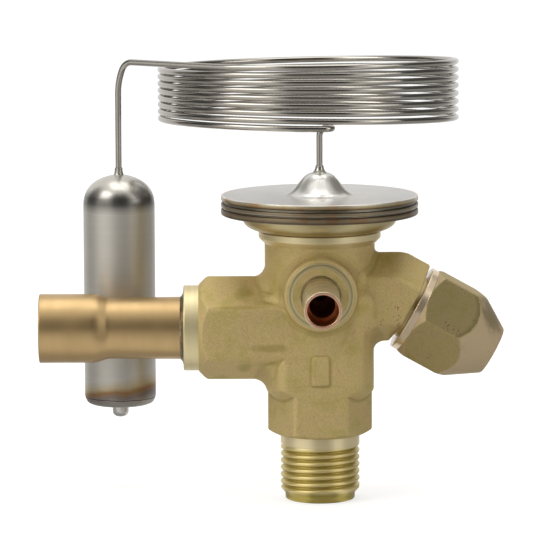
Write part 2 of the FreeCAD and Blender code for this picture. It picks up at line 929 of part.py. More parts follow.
def capillary_points():
    """The capillary's line: up from the dome, round the coil, and down into the bulb."""
    up = Vector(0, 0, 1)
    heading = Vector(math.cos(math.radians(riser_heading)), -math.sin(math.radians(riser_heading)), 0)
    right = heading.cross(up)
    start = Vector(0, 0, dome_top - capillary_into_dome)
    corner = Vector(0, 0, riser_height - riser_bend)
    points = [start, corner]
    points += turn_points(corner + heading * riser_bend, heading * -riser_bend, right, -90)
    bend_centre = points[-1] + right * riser_bend
    points += turn_points(bend_centre, right * -riser_bend, up, riser_heading - 180)
    centre = Vector(coil_centre_x, points[-1].y + coil_radius, riser_height)
    to_bulb = Vector(bulb_x - centre.x, bulb_y - centre.y, 0)
    bearing = math.atan2(-to_bulb.x, -to_bulb.y)
    exit_angle = bearing - math.acos(coil_radius / to_bulb.Length)
    last = coil_turns + exit_angle / (2 * math.pi)
    steps = round(last * coil_steps)
    points += [coil_point(centre, last * k / steps) for k in range(steps + 1)]
    outward = Vector(-math.cos(exit_angle), math.sin(exit_angle), 0)
    bend = math.radians(drop_bend_angle)
    advance = drop_bend * math.sin(bend) + drop_sweep * (1 - math.sin(bend))
    bulb_axis = Vector(bulb_x, bulb_y, points[-1].z)
    edge = bulb_axis - outward * advance
    axis = outward.cross(up)
    points += [edge]
    first = edge - up * drop_bend
    points += turn_points(first, up * drop_bend, axis, -drop_bend_angle)
    spoke = points[-1] - first
    second = first - spoke * (drop_sweep / drop_bend - 1)
    points += turn_points(second, spoke * (drop_sweep / drop_bend), axis, drop_bend_angle - 90)
    low = bulb_bottom_z + bulb_length - capillary_into_dome
    return points + [Vector(bulb_x, bulb_y, low)]


def capillary_tube():
    return wire_bent(capillary_points(), capillary_diameter, capillary_sides)


def bulb_shell():
    """A drawn cup with a rounded top, closed below by a welded end."""
    r = bulb_diameter / 2
    low = bulb_seam_height
    high = bulb_length
    shoulder = high - bulb_dome_height
    hole = capillary_diameter / 2 + sliding
    inner = r - bulb_wall
    out, up = bulb_dome_bulge
    outer_mid = (r * out, shoulder + bulb_dome_height * up)
    inner_mid = (inner * out, shoulder + (bulb_dome_height - bulb_wall) * up)
    shape = turned(
        (inner, low),
        (r, low),
        (r, shoulder),
        (outer_mid, (bulb_cone_diameter / 2, high)),
        (hole, high),
        (hole, high - bulb_wall),
        (bulb_cone_diameter / 2, high - bulb_wall),
        (inner_mid, (inner, shoulder)),
    )
    return placed(shape, at_bulb)


def bulb_end_cap():
    """The welded bottom with its rounded edge."""
    r = bulb_diameter / 2
    seam = bulb_seam_height
    bevel = (r - seam * 0.3, seam * 0.3)
    shape = turned((0, 0), (r - seam, 0), (bevel, (r, seam)), (0, seam))
    return placed(shape, at_bulb)


def bulb_solder_cone():
    hole = capillary_diameter / 2 + sliding
    high = bulb_length + bulb_cone_length
    shape = turned(
        (hole, bulb_length),
        (bulb_cone_diameter / 2, bulb_length),
        (hole + solder_cone_rim, high),
        (hole, high),
    )
    return placed(shape, at_bulb)


def charging_stub():
    """The sealed stub through which the bulb was filled, rounded below."""
    r = charge_stub_diameter / 2
    low = -charge_stub_length - charge_stub_end
    out, down = charge_stub_bulge
    flank = (r * out, -charge_stub_length - charge_stub_end * down)
    shape = turned((0, low), (flank, (r, -charge_stub_length)), (r, 0), (0, 0))
    return placed(shape, at_bulb)


PIECES = {
    "valve_body": valve_body,
    "outlet_tube": outlet_tube,
    "outlet_solder_ring": outlet_solder_ring,
    "equalizer_tube": equalizer_tube,
    "equalizer_solder_ring": equalizer_solder_ring,
    "capsule_lower_dish": capsule_lower_dish,
    "diaphragm": diaphragm,
    "capsule_spacer_ring": capsule_spacer_ring,
    "capsule_cover": capsule_cover,
    "head_solder_cone": head_solder_cone,
    "thrust_pad": thrust_pad,
    "push_rod": push_rod,
    "rod_seal": rod_seal,
    "rod_seal_retainer": rod_seal_retainer,
    "superheat_spring": superheat_spring,
    "spring_seat": spring_seat,
    "setting_fork": setting_fork,
    "adjusting_spindle": adjusting_spindle,
    "spindle_gland_nut": spindle_gland_nut,
    "spindle_seal": spindle_seal,
    "cap_gasket": cap_gasket,
    "seal_cap": seal_cap,
    "orifice_cartridge": orifice_cartridge,
    "cartridge_seal": cartridge_seal,
    "valve_cone": valve_cone,
    "cone_spring": cone_spring,
    "cone_retainer": cone_retainer,
    "strainer_rim": strainer_rim,
    "strainer": strainer,
    "capillary_tube": capillary_tube,
    "bulb_shell": bulb_shell,
    "bulb_end_cap": bulb_end_cap,
    "bulb_solder_cone": bulb_solder_cone,
    "charging_stub": charging_stub,
}

os.makedirs("parts", exist_ok=True)
for name, make in PIECES.items():
    piece = make()
    print(name, piece.ShapeType, len(piece.Solids), piece.isValid(), round(piece.Volume, 1))
    piece.exportStep("parts/" + name + ".step")
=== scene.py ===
# %% [markdown]
# # A refrigerant expansion valve, dressed for its portrait
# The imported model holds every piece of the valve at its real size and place. This lesson gives
# the pieces that show a finer surface and a believable finish, and leaves the hidden ones as
# they are apart from their materials. Sizes are in millimetres and become metres at the last step.

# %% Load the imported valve
import json
import math

import bmesh
import bpy
import numpy as np
from mathutils import Matrix, Vector


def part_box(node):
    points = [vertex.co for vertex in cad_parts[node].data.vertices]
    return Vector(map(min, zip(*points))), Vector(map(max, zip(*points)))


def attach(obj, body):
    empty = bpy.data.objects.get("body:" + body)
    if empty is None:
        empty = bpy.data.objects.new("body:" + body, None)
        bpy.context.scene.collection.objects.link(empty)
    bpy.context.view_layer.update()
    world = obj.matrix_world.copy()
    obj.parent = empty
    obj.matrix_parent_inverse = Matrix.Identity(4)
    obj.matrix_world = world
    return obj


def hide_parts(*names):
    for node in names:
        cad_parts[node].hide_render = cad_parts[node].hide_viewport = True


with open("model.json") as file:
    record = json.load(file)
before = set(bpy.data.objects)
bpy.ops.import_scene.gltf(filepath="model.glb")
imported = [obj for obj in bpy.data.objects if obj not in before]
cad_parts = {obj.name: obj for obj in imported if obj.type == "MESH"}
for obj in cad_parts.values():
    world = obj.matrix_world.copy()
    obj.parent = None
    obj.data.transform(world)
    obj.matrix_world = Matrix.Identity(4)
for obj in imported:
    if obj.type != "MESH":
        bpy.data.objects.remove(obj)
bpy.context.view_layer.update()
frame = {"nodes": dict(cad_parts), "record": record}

MM = 0.001
nodes = frame["nodes"]
print("pieces in the packed model:", len(nodes))


def box_mm(node):
    """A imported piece's lowest and highest corner in millimetres."""
    low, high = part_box(node)
    return np.array(low) / MM, np.array(high) / MM


# %% [markdown]
# ## From arrays to meshes
# Every new piece is a surface worked out with numpy. Its points are computed as whole arrays, and
# a mesh takes them in one go. A mesh could also be modelled by hand or with primitives and
# modifiers, but a formula states the shape in one place and can be read and changed.

# %% Meshes from arrays
def mesh_piece(name, points, faces):
    """A piece at the origin, from points in millimetres and faces of equally many corners."""
    mesh = bpy.data.meshes.new(name)
    mesh.vertices.add(len(points))
    mesh.vertices.foreach_set("co", (points * MM).astype(np.float32).ravel())
    mesh.loops.add(faces.size)
    mesh.loops.foreach_set("vertex_index", faces.astype(np.int32).ravel())
    mesh.polygons.add(len(faces))
    mesh.polygons.foreach_set("loop_start", np.arange(0, faces.size, faces.shape[1], dtype=np.int32))
    mesh.update(calc_edges=True)
    piece = bpy.data.objects.new(name, mesh)
    bpy.context.scene.collection.objects.link(piece)
    return piece


def grid_faces(rows, columns, rows_close=True):
    """Quads between neighbours of a grid of points whose columns, and perhaps rows, close."""
    r, c = np.meshgrid(np.arange(rows if rows_close else rows - 1), np.arange(columns), indexing="ij")
    below, beside = (r + 1) % rows, (c + 1) % columns
    corners = [r * columns + c, r * columns + beside, below * columns + beside, below * columns + c]
    return np.stack(corners, -1).reshape(-1, 4)


def welded(piece, crease=35.0):
    """Merges seams and poles, turns the faces outwards, and smooths up to the crease angle."""
    bm = bmesh.new()
    bm.from_mesh(piece.data)
    bmesh.ops.remove_doubles(bm, verts=bm.verts, dist=1e-7)
    bmesh.ops.delete(bm, geom=[e for e in bm.edges if not e.link_faces], context="EDGES")
    bmesh.ops.recalc_face_normals(bm, faces=bm.faces)
    bm.to_mesh(piece.data)
    bm.free()
    piece.data.polygons.foreach_set("use_smooth", np.ones(len(piece.data.polygons), bool))
    piece.data.set_sharp_from_angle(angle=math.radians(crease))
    return piece


def seated(piece, body, slot, material, *replaced):
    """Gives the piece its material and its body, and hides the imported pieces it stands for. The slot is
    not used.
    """
    piece.data.materials.append(material)
    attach(piece, body)
    if replaced:
        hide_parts(*replaced)
    print(piece.name, "faces:", len(piece.data.polygons), "stands for", *replaced)
    return piece


# %% [markdown]
# ## Turned pieces
# Most of the valve is round: stubs, tubes, the capsule and the bulb. Each is an outline of radius
# against distance, carried round an axis. Real turned edges are never razor sharp, and it is the
# small rounding that catches the light, so each corner of the outline gets a little arc.

# %% Outlines and how they turn
def rounded(corners, radius=0.15, steps=4):
    """A closed outline whose corner C becomes A(1-t)² + 2Ct(1-t) + Bt², with A and B on its edges.

    A corner is (radius, distance) or (radius, distance, rounding). A guard point follows outside
    A and outside B, so that the flats beside a rounded corner stay flat when they are smoothed."""
    full = np.array([(*corner, radius)[:3] for corner in corners], float)
    c, reach = full[:, :2], full[:, 2:]
    back, ahead = np.roll(c, 1, 0) - c, np.roll(c, -1, 0) - c
    back_length = np.linalg.norm(back, axis=1, keepdims=True)
    ahead_length = np.linalg.norm(ahead, axis=1, keepdims=True)
    reach = np.minimum(reach, 0.35 * np.minimum(back_length, ahead_length))
    reach = np.where(c[:, :1] < 1e-6, 0, reach)
    back, ahead = back / back_length * reach, ahead / ahead_length * reach
    t = np.linspace(0, 1, steps + 1)[:, None, None]
    arcs = (c + back) * (1 - t) ** 2 + 2 * c * t * (1 - t) + (c + ahead) * t**2
    rows = np.concatenate([[c + 1.4 * back], arcs, [c + 1.4 * ahead]])
    return rows.transpose(1, 0, 2).reshape(-1, 2)


def bow(start, pull, end, count=14):
    """Points of the parabola from start to end that leans towards pull, ready for an outline."""
    t = np.linspace(0, 1, count)[:, None]
    points = np.array(start) * (1 - t) ** 2 + 2 * np.array(pull) * t * (1 - t) + np.array(end) * t**2
    return [(*point, 0.0) for point in points]


def lathe(name, outline, origin=(0, 0, 0), towards=(0, 0, 1), steps=144, relief=None):
    """The outline carried round an axis: origin + distance·axis + radius·(cos a·side + sin a·up).

    relief(radius, distance, a) is added to the radius, which is how a thread is cut."""
    axis = np.array(towards, float)
    side = np.cross(axis, (0, 0, 1)) if abs(axis[2]) < 0.9 else np.array((1.0, 0, 0))
    side = side / np.linalg.norm(side)
    up = np.cross(axis, side)
    a = np.linspace(0, 2 * np.pi, steps, endpoint=False)[None, :, None]
    radius, distance = outline[:, 0][:, None, None], outline[:, 1][:, None, None]
    if relief is not None:
        radius = radius + relief(radius, distance, a)
    points = np.array(origin) + distance * axis + radius * (np.cos(a) * side + np.sin(a) * up)
    return welded(mesh_piece(name, points.reshape(-1, 3), grid_faces(len(outline), steps)))


# %% [markdown]
# ## Skins of level fields
# The forging and the hexagonal cap aren't round. They could be cut from blocks and bevelled, but a
# forging's soft fillets run into each other in ways that bevels can't follow. Here such a shape is
# a field: a number at every point of space, negative inside, zero on the skin. Two shapes join with
# a fillet, or meet with a rounded edge, by a short formula on their two numbers.

# %% Fields and how they combine
def join(a, b, fillet):
    """Union of two fields. Where both are nearer than the fillet, a quarter circle bridges them."""
    bridge = np.hypot(np.maximum(fillet - a, 0), np.maximum(fillet - b, 0))
    return np.maximum(fillet, np.minimum(a, b)) - bridge


def meet(a, b, edge):
    """Intersection of two fields, whose common edge is rounded by the radius edge."""
    return -join(-a, -b, edge)


def hexagonal(u, v, flats, edge):
    """Hexagonal bar with corners on the u axis: the outermost of |u cos a + v sin a| - flats/2."""
    pairs = [abs(u * math.cos(a) + v * math.sin(a)) - flats / 2 for a in np.radians((30, 90, 150))]
    return meet(meet(pairs[0], pairs[1], edge), pairs[2], edge)


def about(p, origin, towards):
    """Distance along an axis and distance from it, for points in an array of shape (3, ...)."""
    shifted = [p[k] - origin[k] for k in range(3)]
    along = sum(shifted[k] * towards[k] for k in range(3))
    away = np.sqrt(np.maximum(sum(s * s for s in shifted) - along * along, 0))
    return along, away


def drilled(p, origin, towards, radius, low, high):
    """A round hole: the outermost of its wall and its two ends."""
    along, away = about(p, origin, towards)
    return np.maximum(away - radius, np.maximum(low - along, along - high))


def slope_of(field, p, step=0.02):
    """The field's gradient by central differences, for points in an array of shape (3, n)."""
    shifts = np.eye(3, dtype=np.float32)[:, :, None] * step
    return np.stack([(field(p + s) - field(p - s)) / (2 * step) for s in shifts])


def skin(name, field, low, high, pitch, rounds=4, draws=3, even=0.6):
    """The zero level of a field as a mesh of even quads.

    Each cell of a grid that the level crosses gets one point, and each grid edge that it crosses
    gets a quad of the four cells round it. In each round the points are drawn onto the level by
    steps of -f·slope/|slope|² and, but for the last round, evened out between neighbours. The
    slope also gives the normals, and the level's spread to the sides gives the attribute bend:
    over 0 on edges, under 0 in hollows."""
    axes = [np.arange(a, b + pitch, pitch, dtype=np.float32) for a, b in zip(low, high)]
    inside = field(np.stack(np.meshgrid(*axes, indexing="ij"))) < 0
    count = inside.astype(int)
    for axis in range(3):
        count = np.moveaxis(count, axis, 0)
        count = np.moveaxis(count[:-1] + count[1:], 0, axis)
    crossed = (count > 0) & (count < 8)
    number = np.full(crossed.shape, -1)
    number[crossed] = np.arange(crossed.sum())
    points = (np.array(np.nonzero(crossed), np.float32) + 0.5) * pitch
    points += np.array(low, np.float32)[:, None]
    quads = []
    for axis in range(3):
        near, far = np.moveaxis(inside, axis, 0)[:-1], np.moveaxis(inside, axis, 0)[1:]
        i, j, k = np.nonzero((near != far)[:, 1:-1, 1:-1])
        cells = np.moveaxis(number, axis, 0)
        ring = np.stack([cells[i, j, k], cells[i, j + 1, k], cells[i, j + 1, k + 1], cells[i, j, k + 1]], -1)
        outwards = near[:, 1:-1, 1:-1][i, j, k] ^ (axis == 1)
        quads.append(np.where(outwards[:, None], ring, ring[:, ::-1]))
    quads = np.concatenate(quads)
    ends = np.concatenate([quads.ravel(), np.roll(quads, 1, 1).ravel()])
    others = np.concatenate([np.roll(quads, 1, 1).ravel(), quads.ravel()])
    share = 1 / np.maximum(np.bincount(ends, minlength=points.shape[1]), 1)
    for step in range(rounds + 1):
        for _ in range(draws):
            slope = slope_of(field, points)
            points = points - slope * field(points) / np.maximum((slope**2).sum(0), 0.25)
        if step < rounds:
            sums = [np.bincount(ends, points[k][others], points.shape[1]) for k in range(3)]
            points = ((1 - even) * points + even * np.stack(sums) * share).astype(np.float32)
    piece = mesh_piece(name, points.T, quads)
    slope = slope_of(field, points)
    normals = (slope / np.maximum(np.linalg.norm(slope, axis=0), 1e-6)).T
    piece.data.polygons.foreach_set("use_smooth", np.ones(len(quads), bool))
    piece.data.normals_split_custom_set_from_vertices(normals)
    reach = np.float32(0.35)
    sides = np.eye(3, dtype=np.float32)[:, :, None] * reach
    spread = sum(field(points + s) + field(points - s) for s in sides)
    spread = spread - field(points + normals.T * reach) - field(points - normals.T * reach)
    bend = piece.data.attributes.new("bend", "FLOAT", "POINT")
    bend.data.foreach_set("value", (spread / reach**2).astype(np.float32))
    return piece


# %% [markdown]
# ## Finishes
# A finish is a Principled shader fed by small groups of texture nodes. The groups give only masks
# and heights, and read the piece's own coordinates, so a pattern stays on its piece when it moves.
# There are three: grain for what was forged, cast or blasted, turning for the fine rings that a
# lathe or a polishing belt leaves, and a third for a soft spot of another colour, which marks
# pitted places and paints shade into spots along the forging's edges.

# %% Helpers for shader nodes
def node(tree, kind, sockets=None, **settings):
    """Adds a shader node. A socket's value is a number, a colour, a vector or another socket."""
    made = tree.nodes.new(kind)
    for key, value in settings.items():
        setattr(made, key, value)
    for key, value in (sockets or {}).items():
        if isinstance(value, bpy.types.NodeSocket):
            tree.links.new(value, made.inputs[key])
        else:
            made.inputs[key].default_value = value
    return made


def ramp(tree, factor, *stops):
    """A colour ramp. A stop is (place, colour), and a colour may be one grey number."""
    made = node(tree, "ShaderNodeValToRGB", {"Fac": factor})
    elements = made.color_ramp.elements
    for k, (place, colour) in enumerate(stops):
        element = elements[k] if k < 2 else elements.new(place)
        element.position = place
        grey = isinstance(colour, (int, float))
        element.color = (colour, colour, colour, 1) if grey else (*colour, 1)
    return made.outputs["Color"]


def blend(tree, factor, first, second, mode="MIX"):
    """Mixes two colours, each a colour or a socket."""
    made = node(tree, "ShaderNodeMix", data_type="RGBA", blend_type=mode, clamp_factor=True)
    for key, value in (("Factor_Float", factor), ("A_Color", first), ("B_Color", second)):
        target = next(s for s in made.inputs if s.identifier == key)
        if isinstance(value, bpy.types.NodeSocket):
            tree.links.new(value, target)
        else:
            target.default_value = value if isinstance(value, (int, float)) else (*value, 1)
    return next(s for s in made.outputs if s.identifier == "Result_Color")


def maths(tree, operation, first, second=0.0, clamp=False):
    """One step of arithmetic on numbers or sockets."""
    made = node(tree, "ShaderNodeMath", {0: first, 1: second}, operation=operation, use_clamp=clamp)
    return made.outputs[0]


def vectors(tree, operation, first, second=(0, 0, 0)):
    """One step of arithmetic on vectors. LENGTH and DOT_PRODUCT give a number."""
    made = node(tree, "ShaderNodeVectorMath", {0: first, 1: second}, operation=operation)
    return made.outputs["Value" if operation in ("LENGTH", "DOT_PRODUCT") else "Vector"]


def mapped(tree, value, start, end, low=0.0, high=1.0, kind="LINEAR"):
    """Carries a value from the range start to end onto low to high, and holds it at both ends."""
    sockets = {"Value": value, "From Min": start, "From Max": end, "To Min": low, "To Max": high}
    return node(tree, "ShaderNodeMapRange", sockets, interpolation_type=kind).outputs[0]


def noise(tree, where, scale, detail=2.0, roughness=0.5):
    """Smooth noise round 0.5, with about scale waves to each unit of the vector."""
    sockets = {"Vector": where, "Scale": scale, "Detail": detail, "Roughness": roughness}
    return node(tree, "ShaderNodeTexNoise", sockets).outputs["Fac"]


def group(name, inputs, outputs):
    """An empty node group with named sockets, and its two ends."""
    tree = bpy.data.node_groups.new(name, "ShaderNodeTree")
    for key, (kind, default) in inputs.items():
        socket = tree.interface.new_socket(key, in_out="INPUT", socket_type=kind)
        if default is not None:
            socket.default_value = default
    for key, kind in outputs.items():
        tree.interface.new_socket(key, in_out="OUTPUT", socket_type=kind)
    return tree, node(tree, "NodeGroupInput").outputs, node(tree, "NodeGroupOutput").inputs


# %% The three groups of texture nodes
NUMBER, VECTOR = "NodeSocketFloat", "NodeSocketVector"

grain, given, asked = group(
    "grain",
    {"Vector": (VECTOR, None), "Size": (NUMBER, 0.3), "Pits": (NUMBER, 0.5)},
    {"Height": NUMBER, "Pit": NUMBER, "Cloud": NUMBER},
)
per_size = maths(grain, "DIVIDE", 1 / MM, given["Size"])
fine = noise(grain, given["Vector"], per_size, 3.0, 0.6)
patches = noise(grain, given["Vector"], 240.0, 4.0, 0.6)
cells = {"Vector": given["Vector"], "Scale": maths(grain, "MULTIPLY", per_size, 0.4)}
near_spot = mapped(grain, node(grain, "ShaderNodeTexVoronoi", cells).outputs["Distance"], 0.32, 0.12)
spotted = maths(grain, "MULTIPLY", near_spot, mapped(grain, patches, 0.52, 0.66))
pit = maths(grain, "MULTIPLY", spotted, given["Pits"])
grain.links.new(maths(grain, "SUBTRACT", fine, pit), asked["Height"])
grain.links.new(pit, asked["Pit"])
grain.links.new(patches, asked["Cloud"])

turning, given, asked = group(
    "turning",
    {"Vector": (VECTOR, None), "Axis": (VECTOR, (0, 0, 1)), "Pitch": (NUMBER, 0.12)},
    {"Height": NUMBER, "Tone": NUMBER},
)
along = vectors(turning, "DOT_PRODUCT", given["Vector"], given["Axis"])
rings = maths(turning, "MULTIPLY", along, maths(turning, "DIVIDE", 1 / MM, given["Pitch"]))
drift = vectors(turning, "MULTIPLY", given["Vector"], (60, 60, 60))
stepped = vectors(turning, "ADD", drift, node(turning, "ShaderNodeCombineXYZ", {"X": rings}).outputs[0])
lines = noise(turning, stepped, 1.0, 2.0, 0.7)
fine_part = maths(turning, "MULTIPLY", lines, 0.6)
broad_part = maths(turning, "MULTIPLY", noise(turning, given["Vector"], 150.0), 0.4)
turning.links.new(lines, asked["Height"])
turning.links.new(maths(turning, "ADD", fine_part, broad_part), asked["Tone"])

pits_and_shade_spot, given, asked = group(
    "pits_and_shade_spot",
    {"Vector": (VECTOR, None), "Centre": (VECTOR, (0, 0, 0)), "Reach": (VECTOR, (1, 1, 1))},
    {"Mask": NUMBER},
)
away = vectors(pits_and_shade_spot, "SUBTRACT", given["Vector"], given["Centre"])
span = vectors(pits_and_shade_spot, "LENGTH", vectors(pits_and_shade_spot, "DIVIDE", away, given["Reach"]))
wander = maths(pits_and_shade_spot, "SUBTRACT", noise(pits_and_shade_spot, given["Vector"], 500.0, 3.0), 0.5)
soft = mapped(pits_and_shade_spot, maths(pits_and_shade_spot, "ADD", span, wander), 1.0, 0.35, kind="SMOOTHSTEP")
pits_and_shade_spot.links.new(soft, asked["Mask"])
print("groups:", [g.name for g in bpy.data.node_groups])


# %% [markdown]
# ## Brass
# The body was hot forged, blasted and dipped, which leaves a pale, dull yellow with a fine grain and
# a few pits. A greener shade is painted into its hollows and into spots along its left branch. Its
# machined ends are smoother and yellower. The cap is forged too, with darker, more pitted flats and
# a turned cone and flange.

# %% Brass finishes
def metal(name, metallic=1.0, roughness=0.4):
    """A material, its node tree, and the socket that gives the piece's own coordinates."""
    made = bpy.data.materials.new(name)
    made.use_nodes = True
    tree = made.node_tree
    shader = tree.nodes["Principled BSDF"]
    shader.inputs["Metallic"].default_value = metallic
    shader.inputs["Roughness"].default_value = roughness
    return made, tree, node(tree, "ShaderNodeTexCoord").outputs["Object"]


def finished(made, colour, height=None, relief=0.0, **more):
    """Feeds the shader its colour, perhaps a height with its relief in millimetres, and more."""
    tree = made.node_tree
    fed = {"Base Color": colour, **more}
    if height is not None:
        bump = node(tree, "ShaderNodeBump", {"Height": height, "Distance": relief * MM, "Strength": 1.0})
        fed["Normal"] = bump.outputs["Normal"]
    for key, socket in fed.items():
        tree.links.new(socket, tree.nodes["Principled BSDF"].inputs[key])
    return made


def textured(tree, where, texture, **sockets):
    """The outputs of a group of texture nodes that reads the piece's coordinates."""
    return node(tree, "ShaderNodeGroup", {"Vector": where, **sockets}, node_tree=texture).outputs


def held(tree, name):
    """A number that the mesh holds at each vertex, or 0 where it holds none."""
    return node(tree, "ShaderNodeAttribute", attribute_name=name).outputs["Fac"]


def spots_of_pits_and_shade(tree, where, least, *places):
    """The greatest of a value and several soft spots, which mark more pitting in some places and painted
    shade in others. A place is a centre and a reach in millimetres.
    """
    for centre, reach in places:
        in_metres = {"Centre": [MM * c for c in centre], "Reach": [MM * r for r in reach]}
        least = maths(tree, "MAXIMUM", textured(tree, where, pits_and_shade_spot, **in_metres)["Mask"], least)
    return least


def forged_brass(name, pale, deep, edge, pits, roughness, olive, pitted, grain_size=0.24, relief=0.10):
    """Blasted forging: pale on flats, deep colour in pits and in the darker spots given, painted
    shade of deep colour in hollows, and the edge colour on convex edges.

    The mesh holds bend. It may hold cut, 1 on faces that a lathe has cleaned, and dull, over 0 on
    darker ones."""
    made, tree, where = metal(name, 0.6, roughness)
    dull, cut, bend = [held(tree, key) for key in ("dull", "cut", "bend")]
    pitting = maths(tree, "MULTIPLY", spots_of_pits_and_shade(tree, where, dull, *pitted), 1.5)
    texture = textured(tree, where, grain, Size=grain_size, Pits=maths(tree, "ADD", pitting, pits))
    greener = [c * share for c, share in zip(pale, (0.86, 0.88, 0.68))]
    redder = [c * share for c, share in zip(pale, (1.02, 0.95, 1.05))]
    cloudy = ramp(tree, texture["Cloud"], (0.30, greener), (0.48, pale), (0.70, redder))
    speckle = ramp(tree, texture["Height"], (0.25, 0.78), (0.7, 1.08))
    colour = blend(tree, 1.0, cloudy, speckle, "MULTIPLY")
    # Painted shade: hollows, where bend is under 0, take the deep colour. Convex edges take the edge colour.
    hollow, on_convex_edges = mapped(tree, bend, 0.0, -0.8), mapped(tree, bend, 0.8, 5.0)
    # The olive spots given take the deep colour; on the body they are painted shade along the left branch's
    # edges. dull darkens the cap's flats.
    darker = maths(tree, "MAXIMUM", spots_of_pits_and_shade(tree, where, 0.0, *olive), dull)
    layers = [
        (hollow, 0.5, deep), (cut, 1.0, edge), (darker, 0.6, deep), (on_convex_edges, 0.3, edge),
        (texture["Pit"], 0.8, [0.5 * c for c in deep]),
    ]
    for mask, strength, tint in layers:
        colour = blend(tree, maths(tree, "MULTIPLY", mask, strength, clamp=True), colour, tint)
    return finished(made, colour, texture["Height"], relief)


def turned_metal(name, light, dark, axis, pitch, relief, roughness, metallic=1.0):
    """Turned or drawn metal: rings across the axis vary its tone, its roughness and its height."""
    made, tree, where = metal(name, metallic)
    texture = textured(tree, where, turning, Axis=axis, Pitch=pitch)
    colour = ramp(tree, texture["Tone"], (0.3, dark), (0.7, light))
    rough = mapped(tree, texture["Tone"], 0.3, 0.7, roughness + 0.06, roughness - 0.04)
    return finished(made, colour, texture["Height"], relief, Roughness=rough)


lean = math.radians(29.0)
spindle_way = np.array((math.cos(lean), 0, -math.sin(lean)))
UP, LEFT, FRONT = (0, 0, 1), (-1, 0, 0), (0, -1, 0)
MIDDLE = (0, 0, 0)
equalizer_z = 42.7

body_brass = forged_brass(
    "forged_brass", pale=(0.66, 0.515, 0.22), deep=(0.37, 0.285, 0.075), edge=(0.74, 0.61, 0.34),
    pits=0.3, roughness=0.62,
    # Painted shade: darker olive spots along the left branch's hex edges and on its slanted faces, where the
    # recesses lie in shade.
    olive=[
        ((-16.2, -9.25, 40.0), (7.0, 1.5, 0.6)), ((-10.5, -9.25, 31.8), (5.6, 2.0, 1.1)),
        ((-15.2, -5.0, 42.7), (2.2, 5.0, 2.8)), ((-15.1, -6.0, 27.5), (2.0, 5.0, 1.8)),
    ],
    pitted=[((14.5, -8.0, 37.0), (4.0, 4.0, 6.0))],
)
cap_brass = forged_brass(
    "cap_brass", pale=(0.45, 0.35, 0.145), deep=(0.14, 0.11, 0.045), edge=(0.59, 0.46, 0.275),
    pits=0.4, roughness=0.58,
    olive=[((34.6, -3.0, 38.4), (4.2, 9.0, 6.0))], pitted=[((34.0, -6.0, 34.5), (3.0, 6.0, 3.0))],
)

# A row has the light and the dark colour, the axis, pitch and relief of the rings, the roughness,
# and how metallic it is where that is under 1.
turned_brasses = {
    "flange_brass": ((0.84, 0.68, 0.48), (0.70, 0.55, 0.36), spindle_way, 0.3, 0.004, 0.20, 0.7),
    "machined_brass": ((0.82, 0.71, 0.44), (0.68, 0.57, 0.31), UP, 0.10, 0.010, 0.44, 0.8),
    "neck_brass": ((0.80, 0.69, 0.42), (0.66, 0.55, 0.29), spindle_way, 0.10, 0.010, 0.40, 0.8),
    "end_brass": ((0.82, 0.71, 0.43), (0.70, 0.59, 0.32), LEFT, 0.10, 0.010, 0.44, 0.8),
}
finishes = {name: turned_metal(name, *row) for name, row in turned_brasses.items()}
print("brass finishes:", body_brass.name, cap_brass.name, *finishes)

# %% [markdown]
# ## Steel, copper and solder
# The capsule and the bulb are stainless steel. Welding left bands of straw, brown and blue near the
# seams, which come as a colour ramp along the piece's own height. The tubes are copper with the
# golden film that pickling leaves, darker in bands where the flame came near, and solder is a
# softer, greyer metal with a lumpy skin.

# %% Steel, copper and solder finishes
turned_metals = {
    "stainless": ((0.60, 0.58, 0.54), (0.44, 0.42, 0.38), UP, 0.14, 0.008, 0.30),
    "tinted_stainless": ((0.26, 0.21, 0.15), (0.10, 0.075, 0.05), UP, 0.10, 0.010, 0.34),
    "capillary_steel": ((0.42, 0.395, 0.35), (0.36, 0.335, 0.295), UP, 4.0, 0.0, 0.14),
    "inner_steel": ((0.62, 0.62, 0.62), (0.48, 0.48, 0.48), UP, 0.12, 0.01, 0.30),
    "spring_steel": ((0.46, 0.46, 0.48), (0.30, 0.30, 0.31), UP, 0.3, 0.01, 0.34),
    "turned_brass": ((0.74, 0.62, 0.34), (0.58, 0.47, 0.22), UP, 0.12, 0.01, 0.30),
    "gasket_copper": ((0.80, 0.50, 0.32), (0.62, 0.34, 0.20), spindle_way, 0.12, 0.01, 0.32),
    "copper_tube": ((0.54, 0.375, 0.18), (0.49, 0.335, 0.155), LEFT, 3.0, 0.003, 0.38, 0.9),
}
finishes.update((name, turned_metal(name, *row)) for name, row in turned_metals.items())


def axis_distance(tree, where, keep, centre=MIDDLE):
    """Distance in millimetres from an axis through a centre. keep is 0 along the axis, else 1."""
    shifted = vectors(tree, "SUBTRACT", where, [MM * c for c in centre])
    return maths(tree, "DIVIDE", vectors(tree, "LENGTH", vectors(tree, "MULTIPLY", shifted, keep)), MM)


def in_mm(tree, where, axis="Z"):
    """One of the piece's own coordinates in millimetres."""
    return maths(tree, "DIVIDE", node(tree, "ShaderNodeSeparateXYZ", {"Vector": where}).outputs[axis], MM)


def lumpy_solder(name, dark, light):
    """Solder: a soft grey metal whose skin swells and sinks a little."""
    made, tree, where = metal(name, roughness=0.34)
    lumps = noise(tree, where, 900.0, 3.0)
    return finished(made, ramp(tree, lumps, (0.3, dark), (0.7, light)), lumps, 0.12)


